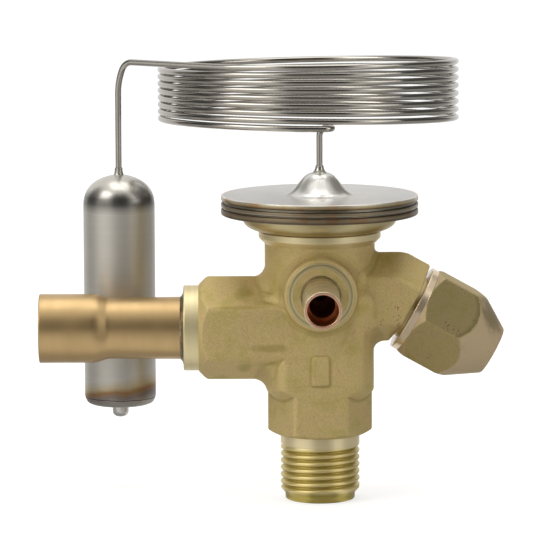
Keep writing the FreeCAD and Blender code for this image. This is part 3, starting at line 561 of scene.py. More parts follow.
def stub_finish():
    """Copper with a golden film in light and dark bands from its root, and bare and oxidised inside."""
    made, tree, where = metal("stub_copper", metallic=0.85, roughness=0.26)
    root, end = 12.0, 30.0
    radius = axis_distance(tree, where, (1, 0, 1), (0, 0, equalizer_z))
    patches = noise(tree, where, 300.0, 3.0)
    out = mapped(tree, maths(tree, "MULTIPLY", in_mm(tree, where, "Y"), -1.0), root, end)
    film = ramp(tree, patches, (0.3, (0.62, 0.51, 0.33)), (0.7, (0.80, 0.69, 0.48)))
    bands = ramp(
        tree, out,
        (0.0, 0.12), (0.05, 0.15), (0.10, 1.2), (0.22, 0.35), (0.32, 1.2), (0.44, 0.45),
        (0.54, 1.1), (0.68, 0.75), (1.0, 0.95),
    )
    inside = ramp(tree, patches, (0.35, (0.42, 0.14, 0.04)), (0.65, (0.90, 0.40, 0.15)))
    rim, bore = mapped(tree, radius, 3.68, 3.5), mapped(tree, radius, 3.15, 3.06)
    colour = blend(tree, rim, blend(tree, 1.0, film, bands, "MULTIPLY"), (0.85, 0.50, 0.33))
    return finished(made, blend(tree, bore, colour, inside))


def capsule_finish(name, light, dark, roughness, *tints):
    """Pressed steel, cloudy on its faces, with colour bands by height on its welded edge: heat tint,
    and on the cover also a painted highlight along its top.

    The edge also has burnt orange patches, and is less metallic than the faces."""
    made, tree, where = metal(name, roughness=roughness)
    bottom, top, face_radius, edge_radius = 57.4, 61.6, 19.0, 19.5
    clouds = noise(tree, where, 90.0, 5.0, 0.6)
    face = ramp(tree, clouds, (0.3, dark), (0.7, light))
    drift = maths(tree, "MULTIPLY", maths(tree, "SUBTRACT", clouds, 0.5), 0.5)
    height = maths(tree, "ADD", in_mm(tree, where), drift)
    edge = ramp(tree, mapped(tree, height, bottom, top), *tints)
    near_edge = mapped(tree, axis_distance(tree, where, (1, 1, 0)), face_radius, edge_radius)
    burnt = maths(tree, "MULTIPLY", mapped(tree, noise(tree, where, 260.0), 0.5, 0.62), 0.45)
    edge = blend(tree, burnt, edge, blend(tree, 1.0, edge, (1.0, 0.55, 0.22), "MULTIPLY"))
    oxide = mapped(tree, near_edge, 0.0, 1.0, 1.0, 0.6)
    return finished(made, blend(tree, near_edge, face, edge), clouds, 0.02, Metallic=oxide)


def faced_brass():
    """The boss's turned face: fine rings by radius, and a dark flux mark round the tube."""
    made, tree, where = metal("faced_brass", metallic=0.8, roughness=0.36)
    tube_wall, ring_edge = 3.7, 6.7
    radius = axis_distance(tree, where, (1, 0, 1), (0, 0, equalizer_z))
    colour = ramp(
        tree, mapped(tree, radius, tube_wall, ring_edge),
        (0.0, (0.10, 0.09, 0.07)), (0.14, (0.16, 0.14, 0.10)), (0.20, (0.85, 0.77, 0.52)),
        (0.42, (0.66, 0.57, 0.33)), (0.52, (0.85, 0.76, 0.48)), (0.57, (0.34, 0.28, 0.13)),
        (0.63, (0.80, 0.70, 0.42)), (0.76, (0.64, 0.54, 0.28)), (0.82, (0.40, 0.33, 0.15)),
        (0.88, (0.72, 0.61, 0.34)), (1.0, (0.60, 0.50, 0.25)),
    )
    sockets = {"W": radius, "Scale": 14.0, "Detail": 1.0}
    rings = node(tree, "ShaderNodeTexNoise", sockets, noise_dimensions="1D")
    return finished(made, colour, rings.outputs["Fac"], 0.02)


def threaded_brass():
    """Turned brass whose thread roots are a deeper olive."""
    made, tree, where = metal("threaded_brass", metallic=0.75, roughness=0.38)
    root_radius, crest_radius, thread_end, plain_start = 7.3, 7.92, 10.6, 11.6
    raised = mapped(tree, axis_distance(tree, where, (1, 1, 0)), root_radius, crest_radius)
    plain = mapped(tree, in_mm(tree, where), thread_end, plain_start)
    colour = ramp(tree, raised, (0.0, (0.46, 0.36, 0.09)), (1.0, (0.76, 0.62, 0.27)))
    return finished(made, blend(tree, plain, colour, (0.80, 0.68, 0.41)))


def bulb_finish(low, high):
    """Ground steel with heat tints by height: grey, dark, brown, straw and bare.

    The tints run from low to high. The shoulder has a painted dark band that stands for a reflection, and is
    more polished."""
    made, tree, where = metal("bulb_steel", metallic=0.85)
    texture = textured(tree, where, turning, Pitch=0.12)
    height = in_mm(tree, where)
    wobbly = maths(tree, "ADD", height, maths(tree, "MULTIPLY", noise(tree, where, 160.0, 3.0), 2.4))
    leaning = maths(tree, "ADD", wobbly, maths(tree, "MULTIPLY", in_mm(tree, where, "X"), -0.16))
    tint = ramp(
        tree, mapped(tree, leaning, low, high),
        (0.0, (0.34, 0.32, 0.28)), (0.20, (0.36, 0.33, 0.29)), (0.40, (0.22, 0.18, 0.16)),
        (0.58, (0.30, 0.17, 0.07)), (0.72, (0.50, 0.41, 0.26)), (1.0, (0.58, 0.55, 0.49)),
    )
    tone = ramp(tree, texture["Tone"], (0.3, 0.9), (0.7, 1.03))
    shoulder_low, shoulder_high = 55.0, 65.0
    shoulder = mapped(tree, height, shoulder_low, shoulder_high)
    # Painted reflection: a dark band on the shoulder stands for a dark card reflected there.
    painted_dark_reflection = ramp(tree, shoulder, (0.14, 1.0), (0.26, 0.62), (0.34, 0.34), (0.46, 0.34), (0.62, 1.0))
    colour = blend(tree, 1.0, blend(tree, 1.0, tint, painted_dark_reflection, "MULTIPLY"), tone, "MULTIPLY")
    polished = mapped(tree, shoulder, 0.15, 0.4, 0.46, 0.28)
    return finished(made, colour, texture["Height"], 0.004, Roughness=polished)


def rubber_finish():
    """Moulded black rubber with a faint grain."""
    made, tree, where = metal("seal_rubber", metallic=0.0, roughness=0.6)
    texture = textured(tree, where, grain)
    colour = ramp(tree, texture["Cloud"], (0.3, 0.02), (0.7, 0.035))
    return finished(made, colour, texture["Height"], 0.01)


solder = lumpy_solder("solder", (0.30, 0.29, 0.24), (0.56, 0.54, 0.47))
dull_solder = lumpy_solder("dull_solder", (0.20, 0.18, 0.14), (0.46, 0.41, 0.30))
stub_copper = stub_finish()
thread_brass = threaded_brass()
face_brass = faced_brass()
# The cover's palest edge tint, at the top of its rounded edge, is a painted highlight; the others are heat
# tint and a dark seam.
cover_steel = capsule_finish(
    "cover_steel", (0.72, 0.70, 0.66), (0.60, 0.58, 0.54), 0.28,
    (0.74, (0.02, 0.012, 0.006)), (0.80, (0.26, 0.17, 0.075)), (0.88, (0.46, 0.38, 0.23)),
    (0.95, (0.52, 0.47, 0.35)), (0.975, (0.85, 0.83, 0.80)),
)
dish_steel = capsule_finish(
    "dish_steel", (0.56, 0.475, 0.27), (0.47, 0.39, 0.205), 0.42,
    (0.05, (0.24, 0.22, 0.18)), (0.10, (0.09, 0.065, 0.04)), (0.22, (0.24, 0.185, 0.11)),
    (0.30, (0.17, 0.12, 0.065)), (0.35, (0.015, 0.01, 0.006)),
)
ring_steel = capsule_finish(
    "ring_steel", (0.30, 0.27, 0.20), (0.20, 0.17, 0.12), 0.34,
    (0.405, (0.015, 0.01, 0.006)), (0.44, (0.36, 0.31, 0.22)), (0.50, (0.20, 0.17, 0.11)),
    (0.56, (0.26, 0.20, 0.12)), (0.605, (0.02, 0.012, 0.006)),
)
finishes["seal_rubber"] = rubber_finish()
print("finishes:", [m.name for m in bpy.data.materials])

# %% [markdown]
# ## The forging
# One piece of brass carries everything: a hexagon for the spanner, a squarish column that turns
# round near the top, a hexagonal branch for the outlet, a round boss for the equalizer, and a
# branch that leans down to the setting spindle. It is one field, built up part by part in the order
# in which the eye reads it, and then drilled.

# %% Sizes of the forging
stub_length = 13.2
hex_flats = 18.5
hex_top = 22.0
column_half_width, column_half_depth = 10.75, 9.25
column_flat_half, column_corner_depth_half = 8.0, 4.8
column_foot = 20.6
upper_radius = 11.0
outlet_z = 34.7
outlet_reach = 24.3
boss_radius = 7.3
boss_reach = 12.3
floor_z = 41.2
spindle_z = 48.9
branch_flats = 16.0
branch_reach = 20.3
neck_top = 54.3
round_top_end = neck_top - 2.2
# Radii of the bores whose walls other surfaces go on with.
inlet_bore, outlet_seat, equalizer_seat, gland_seat, head_room = 5.3, 6.3, 3.75, 4.6, 8.5
upper_cone_radius, upper_cone_z = 9.0, 31.0
foot_cone_radius = 8.3
outlet_cone_inset = 2.0
pad_half_width, pad_half_height, pad_z, pad_relief = 1.65, 2.85, 27.05, 0.4
fillet_wide, fillet_level, fillet_fade_start, fillet_fade_run = 2.8, 0.15, 7.0, 2.2
setting_fillet, setting_fillet_drop, drop_start, drop_run = 2.4, 1.4, 40.0, 8.0
forged_edge = 0.8
# Cosine and sine of 45, 18.4 and 69.3 degrees, which make a slope's field a distance.
even_slope = 0.707
steep_out, steep_up = 0.949, 0.316
flat_out, flat_up = 0.354, 0.935
at_outlet, at_front, at_spindle = (0, 0, outlet_z), (0, 0, equalizer_z), (0, 0, spindle_z)


# %% The forging as one field
def column(p):
    """Squarish bar: flats at the sides, front and back, slanted corners, and a cone below."""
    x, y, z = abs(p[0]), abs(p[1]), p[2]
    corner_x = column_half_depth - column_corner_depth_half
    corner_y = column_half_width - column_flat_half
    size = math.hypot(corner_x, corner_y)
    slant = (corner_x * (x - column_flat_half) + corner_y * (y - column_half_depth)) / size
    bar = meet(meet(x - column_half_width, y - column_half_depth, 0.4), slant, 1.2)
    under = even_slope * (np.hypot(p[0], p[1]) - column_half_depth - z + column_foot)
    return meet(meet(bar, under, 0.35), z - floor_z - 1.0, 2.0)


def round_top(p):
    """The round upper column, which grows out of the squarish one along a steep cone."""
    away = np.hypot(p[0], p[1])
    below = steep_out * (away - upper_cone_radius) - steep_up * (p[2] - upper_cone_z)
    return meet(meet(away - upper_radius, below, 3.0), p[2] - round_top_end, 0.1)


def hexagon_foot(p):
    """The spanner's hexagon, with its lower corners turned off by a cone."""
    away = np.hypot(p[0], p[1])
    bar = hexagonal(p[0], p[1], hex_flats, 0.7)
    chamfer = flat_out * (away - foot_cone_radius) - flat_up * (p[2] - stub_length)
    ends = np.maximum(stub_length - p[2], p[2] - hex_top - 2.0)
    return meet(meet(bar, chamfer, 0.3), ends, 0.2)


def outlet_arm(p):
    """Hexagonal branch to the left with corners above and below, and a turned chamfer."""
    out = -p[0]
    bar = hexagonal(p[2] - outlet_z, p[1], hex_flats, forged_edge)
    away = np.hypot(p[1], p[2] - outlet_z)
    cone_radius = hex_flats / math.sqrt(3) - outlet_cone_inset
    chamfer = even_slope * (away - cone_radius + out - outlet_reach)
    return meet(meet(bar, chamfer, 0.25), np.maximum(out - outlet_reach, -out), 0.15)


def setting_arm(p):
    """Where a level hexagonal bar and a ridge along the leaning axis share their space."""
    level = hexagonal(p[2] - spindle_z + branch_flats / 2, p[1], branch_flats, forged_edge)
    along = p[0] * spindle_way[0] + (p[2] - spindle_z) * spindle_way[2]
    over = -p[0] * spindle_way[2] + (p[2] - spindle_z) * spindle_way[0]
    roof = over * math.cos(math.radians(30)) + abs(p[1]) / 2 - branch_flats / 2
    ends = np.maximum(along - branch_reach, -p[0])
    return meet(meet(level, roof, 0.6), ends, 0.25)


def boss(p):
    """Round boss at the front with a soft bevel, just short of its machined face."""
    away = np.hypot(p[0], p[2] - equalizer_z)
    return meet(away - boss_radius, np.maximum(-p[1] - boss_reach + 0.04, p[1]), 0.65)


def marking_pad(p):
    """The small bare pad that stands out of the column's front."""
    tall = abs(p[2] - pad_z) - pad_half_height
    ends = np.maximum(-p[1] - column_half_depth - pad_relief, p[1] + 5)
    return meet(meet(abs(p[0]) - pad_half_width, tall, 0.5), ends, 0.25)


# A row has a point on the axis, the way it runs, a radius, and where the hole starts and ends.
bore_rows = {
    "inlet": (MIDDLE, UP, inlet_bore, -1, 20.0),
    "cartridge": (MIDDLE, UP, 4.3, 19.0, 28.0),
    "push rod": (MIDDLE, UP, 1.55, 36.0, 43.0),
    "rod seal": (MIDDLE, UP, 2.7, 40.4, 43.0),
    "head": (MIDDLE, UP, head_room, 42.4, 60.0),
    "outlet": (at_outlet, LEFT, 4.5, 4.0, 30.0),
    "outlet seat": (at_outlet, LEFT, outlet_seat, 20.0, 30.0),
    "equalizer": (at_front, FRONT, 1.25, 4.8, 20.0),
    "equalizer seat": (at_front, FRONT, equalizer_seat, 9.6, 20.0),
    "spindle": (at_spindle, spindle_way, 3.0, 6.0, 18.0),
    "gland seat": (at_spindle, spindle_way, gland_seat, 16.9, 30.0),
}


def bores(p):
    """Everything that is drilled or turned out of the forging, as one field.

    The chamber for the spring is a wide hole with a short guide for the rod left in its roof."""
    guide = drilled(p, MIDDLE, UP, 3.0, 36.8, 39.3)
    chamber = np.maximum(drilled(p, MIDDLE, UP, 6.5, 28.0, 39.2), -guide)
    return np.minimum.reduce([chamber, *(drilled(p, *row) for row in bore_rows.values())])


def forging(p):
    """The whole forging. A fillet fades out where two flats lie level, or it would stand out."""
    beside = np.clip((abs(p[1]) - fillet_fade_start) / fillet_fade_run, 0, 1)
    level = beside**2 * (3 - 2 * beside)
    left_fillet = fillet_wide + (fillet_level - fillet_wide) * level
    right_fillet = setting_fillet - setting_fillet_drop * np.clip((p[2] - drop_start) / drop_run, 0, 1)
    whole = join(hexagon_foot(p), column(p), 0.12)
    grown = [
        (round_top, 1.5), (outlet_arm, left_fillet), (setting_arm, right_fillet),
        (boss, 1.4), (marking_pad, 0.3),
    ]
    for part, fillet in grown:
        whole = join(whole, part(p), fillet)
    return meet(whole, -bores(p), 0.1)


# %% Make the forging
body = skin("body_forging", forging, (-25.3, -12.6, 12.4), (23.2, 12.0, 53.2), 0.36)
seated(body, "valve", "forged_brass", body_brass, "valve_body")

# %% [markdown]
# ## Machined ends of the forging
# The inlet stub is turned and threaded, and the outlet collar, the equalizer's spot face, the neck
# under the capsule and the cap's neck are turned too. They are separate surfaces so that the change
# from blasted to machined brass falls exactly on the edge. A thread is a wave in the radius that
# moves on by one pitch in each turn.

# %% Threads and machined ends
def thread(pitch, depth, low, high, crest):
    """Relief of a thread: a sharpened cosine of distance/pitch - a/2π, fading at both ends."""
    def relief(radius, distance, a):
        phase = (distance / pitch - a / (2 * np.pi)) % 1.0
        valley = (0.5 - 0.5 * np.cos(2 * np.pi * phase)) ** 1.5
        run = 0.4 * pitch
        fade = np.clip((distance - low) / run, 0, 1) * np.clip((high - distance) / run, 0, 1)
        return np.where(radius > crest - 0.05, -depth * valley * fade, 0.0)
    return relief


def turned_piece(
    name, corners, slot, material, packed, origin=MIDDLE, towards=UP, body="valve", edge=0.15, **more
):
    """Turns an outline with its corners rounded by edge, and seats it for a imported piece."""
    return seated(lathe(name, rounded(corners, edge), origin, towards, **more), body, slot, material, packed)


thread_radius, thread_pitch, thread_depth = 7.9375, 1.411, 0.6
stub_top = stub_length + 0.4
stub_wall = [(thread_radius, z, 0.0) for z in np.linspace(2.3, 12.6, 136)]
turned_piece(
    "inlet_stub",
    [(inlet_bore, 0.0, 0.2), (6.95, 0.0, 0.6), (7.0, 1.3, 0.2), (7.5, 1.9, 0.2), *stub_wall]
    + [(thread_radius, stub_top, 0.0), (inlet_bore, stub_top, 0.0)],
    "forged_brass", thread_brass, "valve_body",
    steps=192, relief=thread(thread_pitch, thread_depth, 2.2, 11.4, thread_radius),
)

collar_start, collar_end, collar_radius = outlet_reach - 0.5, outlet_reach + 3.0, 8.55
turned_piece(
    "outlet_collar",
    [
        (outlet_seat, collar_start), (collar_radius, collar_start), (collar_radius, collar_end, 0.3),
        (outlet_seat, collar_end),
    ],
    "forged_brass", finishes["end_brass"], "valve_body", at_outlet, LEFT,
)

boss_face = boss_reach - 0.25
turned_piece(
    "boss_end",
    [
        (equalizer_seat, boss_reach - 1.2), (6.6, boss_reach - 1.2), (6.6, boss_reach),
        (5.5, boss_reach, 0.1), (5.5, boss_face, 0.1), (equalizer_seat, boss_face),
    ],
    "forged_brass", face_brass, "valve_body", at_front, FRONT, edge=0.12,
)

turned_piece(
    "neck_ring",
    [
        (head_room, neck_top - 2.7), (upper_radius - 0.2, neck_top - 2.7), (upper_radius, neck_top - 2.5),
        (12.2, neck_top - 1.3), (12.2, neck_top), (head_room, neck_top),
    ],
    "forged_brass", finishes["machined_brass"], "valve_body", edge=0.2,
)

cap_thread_radius, cap_thread_pitch, cap_neck_end = 6.5, 1.5, 28.0
cap_neck_wall = [(cap_thread_radius, s, 0.0) for s in np.linspace(21.0, 27.6, 90)]
turned_piece(
    "cap_neck",
    [(gland_seat, branch_reach - 0.4), (cap_thread_radius, branch_reach - 0.4), *cap_neck_wall]
    + [(cap_thread_radius - 0.35, cap_neck_end, 0.1), (gland_seat, cap_neck_end, 0.1)],
    "forged_brass", finishes["neck_brass"], "valve_body", at_spindle, spindle_way,
    relief=thread(cap_thread_pitch, thread_depth, 21.4, 27.6, cap_thread_radius),
)

# %% [markdown]
# ## The cap
# A blind hexagonal nut closes the setting spindle. Its flats are forged, and a lathe has cut the
# flange, the long cone and the flat end, so the cone meets the flats in arcs. The same field
# method gives those arcs for nothing: a hexagonal bar meets a turned outline.

# %% The cap as a field
cap_flats = 17.8
cap_corner = cap_flats / math.sqrt(3)
cap_start, cap_end = 21.0, 39.5
hexagon_start, shoulder_start, flange_end = cap_start + 1.3, cap_start + 1.4, cap_start + 1.45
cap_cone_start, cap_end_radius = 31.2, 4.95
cap_bore, cap_bore_end = 6.55, 28.8
cap_room, cap_room_end, cap_room_slope = 5.0, 35.0, 0.4


def cap_places(p):
    """Distance along the cap's axis, distance from it, height across it, and the cone's field."""
    along, away = about(p, at_spindle, spindle_way)
    across = -p[0] * spindle_way[2] + (p[2] - spindle_z) * spindle_way[0]
    length, drop = cap_end - cap_cone_start, cap_corner - cap_end_radius
    cone = length * (away - cap_corner) + drop * (along - cap_cone_start)
    return along, away, across, cone / math.hypot(length, drop)


def cap_field(p):
    """Hexagon with corners at the front and back, a shoulder, a cone, and its hollow."""
    along, away, across, cone = cap_places(p)
    bar = hexagonal(p[1], across, cap_flats, 0.35)
    shoulder = even_slope * (away - cap_flats / 2 - (along - shoulder_start))
    hexed = meet(meet(bar, cone, 0.3), shoulder, 0.08)
    outside = meet(hexed, np.maximum(hexagon_start - along, along - cap_end), 0.2)
    bore = np.maximum(away - cap_bore, along - cap_bore_end)
    room = np.maximum(away - cap_room, along - cap_room_end + away * cap_room_slope)
    return meet(outside, -np.minimum(bore, room), 0.1)


def add_attribute(piece, name, values):
    """Stores one number for each vertex."""
    attribute = piece.data.attributes.new(name, "FLOAT", "POINT")
    attribute.data.foreach_set("value", values.astype(np.float32))


cap_low, cap_high = box_mm("seal_cap")
cap = skin("hexagon_cap", cap_field, cap_low - 0.6, cap_high + 0.6, 0.27)
places = np.empty(len(cap.data.vertices) * 3, np.float32)
cap.data.vertices.foreach_get("co", places)
places = places.reshape(-1, 3).T / MM
along, away, across, cone = cap_places(places)
upper_flat = abs(across / 2 - places[1] * math.cos(math.radians(30)) - cap_flats / 2) < 0.05
shoulder = away - cap_flats / 2 - (along - shoulder_start)
turned_faces = np.minimum.reduce([abs(cone), abs(shoulder), abs(cap_end - along)])
add_attribute(cap, "cut", np.clip(1 - turned_faces / 0.1, 0, 1))
add_attribute(cap, "dull", upper_flat * (0.9 + 0.7 * np.clip(1 + cone / 0.7, 0, 1)))
seated(cap, "cap", "cap_brass", cap_brass, "seal_cap")
turned_piece(
    "cap_flange",
    [(cap_bore, cap_start), (8.9, cap_start, 0.2), (8.9, flange_end, 0.1), (cap_bore, flange_end)],
    "cap_brass", finishes["flange_brass"], "seal_cap", at_spindle, spindle_way, body="cap",
)

# %% [markdown]
# ## Tubes and solder
# The outlet is a drawn copper tube with a socket formed in its free end, and the equalizer is a
# short one that points at the viewer. Silver solder stands round both roots as a hollow-cheeked
# ring, which is a curve from the tube's wall to the face it sits on.

# %% Tubes and their solder
tube_start, tube_end = 20.0, 56.2
socket = tube_end - 11.3
flare = socket - 2.4
root_radius, tube_radius, socket_radius = 6.25, 6.1, 6.9
tube_bore, socket_bore = 5.1, 6.05
turned_piece(
    "outlet_copper",
    [
        (tube_bore, tube_start), (root_radius, tube_start), (root_radius, collar_end + 1.0, 0.5),
        (tube_radius, flare - 1.2, 1.0), (tube_radius, flare, 1.4), (socket_radius, socket, 1.4),
        (socket_radius, tube_end, 0.25), (socket_bore, tube_end, 0.25), (socket_bore, socket, 0.3),
        (tube_bore, flare, 0.6),
    ],
    "copper_tube", finishes["copper_tube"], "outlet_tube", at_outlet, LEFT,
)


def hollow_cheek(radius, foot, length, start):
    """Outline of solder in a corner: a parabola from the foot on the face to the tube's wall."""
    pull = (radius + 0.25 * foot, start + 0.25 * length)
    return [(radius, start, 0.0), *bow((radius + foot, start), pull, (radius, start + length))]


turned_piece(
    "outlet_solder", hollow_cheek(root_radius, 1.3, 0.7, collar_end),
    "solder", dull_solder, "outlet_solder_ring", at_outlet, LEFT,
)

stub_start = boss_reach - 2.7
stub_end = stub_start + 23.6
stub_radius, stub_bore, stub_mouth, stub_mouth_depth = 3.7, 2.5, 3.05, 8.0
turned_piece(
    "equalizer_copper",
    [
        (stub_bore, stub_start), (stub_radius, stub_start), (stub_radius, stub_end, 0.3),
        (stub_mouth, stub_end, 0.2), (stub_mouth, stub_end - stub_mouth_depth, 0.1),
        (stub_bore, stub_end - stub_mouth_depth, 0.1),
    ],
    "copper_tube", stub_copper, "equalizer_tube", at_front, FRONT, steps=96,
)
turned_piece(
    "equalizer_solder", hollow_cheek(stub_radius, 0.7, 0.9, boss_face),
    "solder", dull_solder, "equalizer_solder_ring", at_front, FRONT,
)

# %% [markdown]
# ## The capsule
# Two pressed steel discs and a ring between them are welded at the rim round a thin diaphragm.
# From the side the rim is a stack of rounded edges with dark grooves. The dome on top is a raised
# cosine of the radius, which flares at its foot and rounds at its crown as the pressed one does.

# %% The capsule
capsule_radius = 19.7
flange_bottom, foil_bottom = 57.6, 58.9
ring_bottom, ring_top = 59.1, 59.95
ring_bore, ring_step_radius = 16.8, capsule_radius - 0.7
cover_bottom, cover_top = 60.45, 61.5
dome_top = 65.8
dome_foot, dome_crown = 7.0, 1.6
dome_sheet = 0.9
wire_hole = 0.69

turned_piece(
    "capsule_dish",
    [
        (head_room, neck_top, 0.0), (11.9, neck_top, 0.3),
        *bow((12.0, neck_top + 0.1), (15.4, 54.9), (15.5, flange_bottom - 0.4)),
        (16.1, flange_bottom, 0.0), (capsule_radius, flange_bottom, 0.45),
        (capsule_radius, foil_bottom, 0.45), (15.4, foil_bottom, 0.3),
        *bow((14.9, flange_bottom), (14.2, 55.6), (11.0, neck_top + 1.0)),
        (head_room, neck_top + 1.0, 0.2),
    ],
    "stainless", dish_steel, "capsule_lower_dish", steps=240,
)
turned_piece(
    "capsule_ring",
    [
        (ring_bore, ring_bottom, 0.1), (capsule_radius, ring_bottom, 0.4),
        (capsule_radius, ring_top, 0.4), (ring_step_radius, ring_top, 0.1),
        (ring_step_radius, cover_bottom, 0.1), (ring_bore, cover_bottom, 0.1),
    ],
    "tinted_stainless", ring_steel, "capsule_spacer_ring", steps=240,
)


def dome(foot, crown, low, high, count=36):
    """Radius and height of a bell: height = low + (high - low)·(1 + cos πu)/2, u from crown to foot."""
    u = np.linspace(1, 0, count)
    height = low + (high - low) * (1 + np.cos(np.pi * u)) / 2
    return [(r, z, 0.0) for r, z in zip(crown + (foot - crown) * u, height)]


def solder_cone(start, foot, pull, tip):
    """Outline of solder round the capillary. Pull and tip are a radius and a height over the start."""
    ends = [(radius, start + height) for radius, height in (pull, tip)]
    return [(wire_hole, start, 0.0), *bow((foot, start), *ends), (wire_hole, start + tip[1], 0.0)]


turned_piece(
    "capsule_cover_disc",
    [
        (6.0, cover_bottom, 0.1), (capsule_radius, cover_bottom, 0.3),
        (capsule_radius, cover_top, 0.28), *dome(dome_foot, dome_crown, cover_top, dome_top),
        (wire_hole, dome_top, 0.1), (wire_hole, dome_top - dome_sheet, 0.0),
        *dome(dome_foot - 1.0, dome_crown, cover_bottom + 0.1, dome_top - dome_sheet)[::-1],
    ],
    "stainless", cover_steel, "capsule_cover", steps=240,
)
turned_piece(
    "head_solder", solder_cone(dome_top, 1.6, (0.85, 0.45), (0.8, 1.5)),
    "solder", solder, "head_solder_cone", steps=48,
)

# %% [markdown]
# ## The bulb
# A drawn steel cup holds the charge. It has a long rounded shoulder, a welded bottom, and a sealed
# stub through which it was filled. Its tint comes from the welding heat, strongest at the seam.

# %% The bulb
bulb_x, bulb_y, bulb_low = -40.5, 16.0, 16.8
bulb_radius, bulb_length, seam = 7.25, 47.1, 1.6
bulb_bore, bulb_inner_length, bulb_straight = 6.55, 46.4, 41.0
at_bulb = (bulb_x, bulb_y, bulb_low)
tint_low, tint_high = bulb_low + 7.2, bulb_low + 13.8
bulb_steel = bulb_finish(tint_low, tint_high)
turned_piece(
    "bulb_cup",
    [
        (bulb_bore, seam), (bulb_radius, seam, 0.25), (bulb_radius, bulb_straight - 0.4, 0.0),
        *bow((bulb_radius, bulb_straight), (bulb_radius - 0.05, 46.0), (1.0, bulb_length)),
        (wire_hole, bulb_length, 0.0), (wire_hole, bulb_inner_length, 0.0),
        *bow((1.0, bulb_inner_length), (6.5, 45.4), (bulb_bore, bulb_straight)),
    ],
    "bulb_steel", bulb_steel, "bulb_shell", at_bulb,
)
turned_piece(
    "bulb_bottom",
    [
        (0, 0), (bulb_radius - seam, 0, 0.6), (bulb_radius - 0.5, 0.45, 0.7),
        (bulb_radius, seam, 0.25), (0, seam),
    ],
    "bulb_steel", bulb_steel, "bulb_end_cap", at_bulb,
)
turned_piece(
    "bulb_solder", solder_cone(bulb_length, 1.0, (0.8, 0.5), (0.78, 1.4)),
    "solder", solder, "bulb_solder_cone", at_bulb, steps=48,
)
charge_radius, charge_end = 1.65, -2.72
turned_piece(
    "filling_stub",
    [
        (0, charge_end), *bow((0.02, charge_end), (charge_radius, -2.7), (charge_radius, -1.4)),
        (charge_radius, 0), (0, 0),
    ],
    "bulb_steel", finishes["stainless"], "charging_stub", at_bulb, steps=64,
)

# %% [markdown]
# ## The capillary
# One thin steel tube runs from the dome, through a small loop, eight times round the coil, and down
# into the bulb. Its line is worked out from arcs and a helix that leans and fans a little, as the
# real coil does, and a circle is carried along it.

# %% The capillary's line and its tube
def arc(centre, spoke, normal, degrees, count=24):
    """The spoke turned about the normal: spoke·cos a + (normal × spoke)·sin a, first point left out."""
    a = np.radians(np.linspace(0, degrees, count + 1)[1:, None])
    return centre + spoke * np.cos(a) + np.cross(normal, spoke) * np.sin(a)


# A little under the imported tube's 0.65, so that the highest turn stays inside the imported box.
capillary_radius = 0.63
riser_height, riser_bend = 75.0, 1.8
riser_heading = math.radians(30.0)
coil_radius, coil_turns, coil_pitch = 30.25, 8, 1.53
coil_tilt, coil_fan = math.radians(2.5), math.radians(0.2)
coil_x = -1.8
drop_bend, drop_sweep, drop_angle = 2.6, 12.0, 65.0
upwards = np.array((0, 0, 1.0))
heading = np.array((math.cos(riser_heading), -math.sin(riser_heading), 0))
right = np.cross(heading, upwards)
corner = np.array((0, 0, riser_height - riser_bend))
riser = np.linspace((0, 0, dome_top - dome_sheet), corner, 12)
first_bend = arc(corner + heading * riser_bend, -heading * riser_bend, right, -90)
riser_turn = math.degrees(riser_heading) - 180
loop = arc(first_bend[-1] + right * riser_bend, -right * riser_bend, upwards, riser_turn)
coil_y = loop[-1][1] + coil_radius


def coil_line(turns):
    """Clockwise circle seen from above, from its front, that rises by the pitch in each turn.

    Its height also leans with the front-back place and fans with the side, by two small angles."""
    a = 2 * np.pi * turns
    side, front = -np.sin(a), np.cos(a)
    lean_height = coil_radius * math.sin(coil_tilt) * (front - 1)
    fan_height = coil_radius * np.sin(coil_fan * (turns - coil_turns / 2)) * side
    height = riser_height + coil_pitch * turns + lean_height + fan_height
    return np.stack([coil_x + coil_radius * side, coil_y - coil_radius * front, height], -1)


to_bulb = np.array((bulb_x - coil_x, bulb_y - coil_y, 0))
exit_angle = math.atan2(-to_bulb[0], -to_bulb[1]) - math.acos(coil_radius / np.linalg.norm(to_bulb))
coil = coil_line(np.linspace(0, coil_turns + exit_angle / (2 * math.pi), 900))
outward = np.array((-math.cos(exit_angle), math.sin(exit_angle), 0))
drop_turned = math.sin(math.radians(drop_angle))
advance = drop_bend * drop_turned + drop_sweep * (1 - drop_turned)
drop_edge = np.array((bulb_x, bulb_y, coil[-1][2])) - outward * advance
drop_axis = np.cross(outward, upwards)
first_centre = drop_edge - upwards * drop_bend
first_drop = arc(first_centre, upwards * drop_bend, drop_axis, -drop_angle)
spoke = first_drop[-1] - first_centre
second_centre = first_centre - spoke * (drop_sweep / drop_bend - 1)
second_drop = arc(second_centre, spoke * (drop_sweep / drop_bend), drop_axis, drop_angle - 90)
drop = np.linspace(second_drop[-1], (bulb_x, bulb_y, bulb_low + bulb_length - 0.7), 20)[1:]
straight = np.linspace(coil[-1], drop_edge, 12)[1:]
line = np.concatenate([riser, first_bend, loop, coil[1:], straight, first_drop, second_drop, drop])


def carried_circle(name, line, radius, sides=16):
    """A circle carried along a line: line + radius·(cos b·across + sin b·over), ends closed."""
    ahead = np.gradient(line, axis=0)
    ahead /= np.linalg.norm(ahead, axis=1, keepdims=True)
    across = np.cross(ahead, (0.5, 0.7, 0.5))
    across /= np.linalg.norm(across, axis=1, keepdims=True)
    over = np.cross(ahead, across)
    b = np.linspace(0, 2 * np.pi, sides, endpoint=False)[None, :, None]
    walls = line[:, None] + radius * (np.cos(b) * across[:, None] + np.sin(b) * over[:, None])
    ends = np.repeat(line[[0, -1]][:, None], sides, 1)
    points = np.concatenate([ends[:1], walls, ends[1:]])
    return welded(mesh_piece(name, points.reshape(-1, 3), grid_faces(len(points), sides, False)))


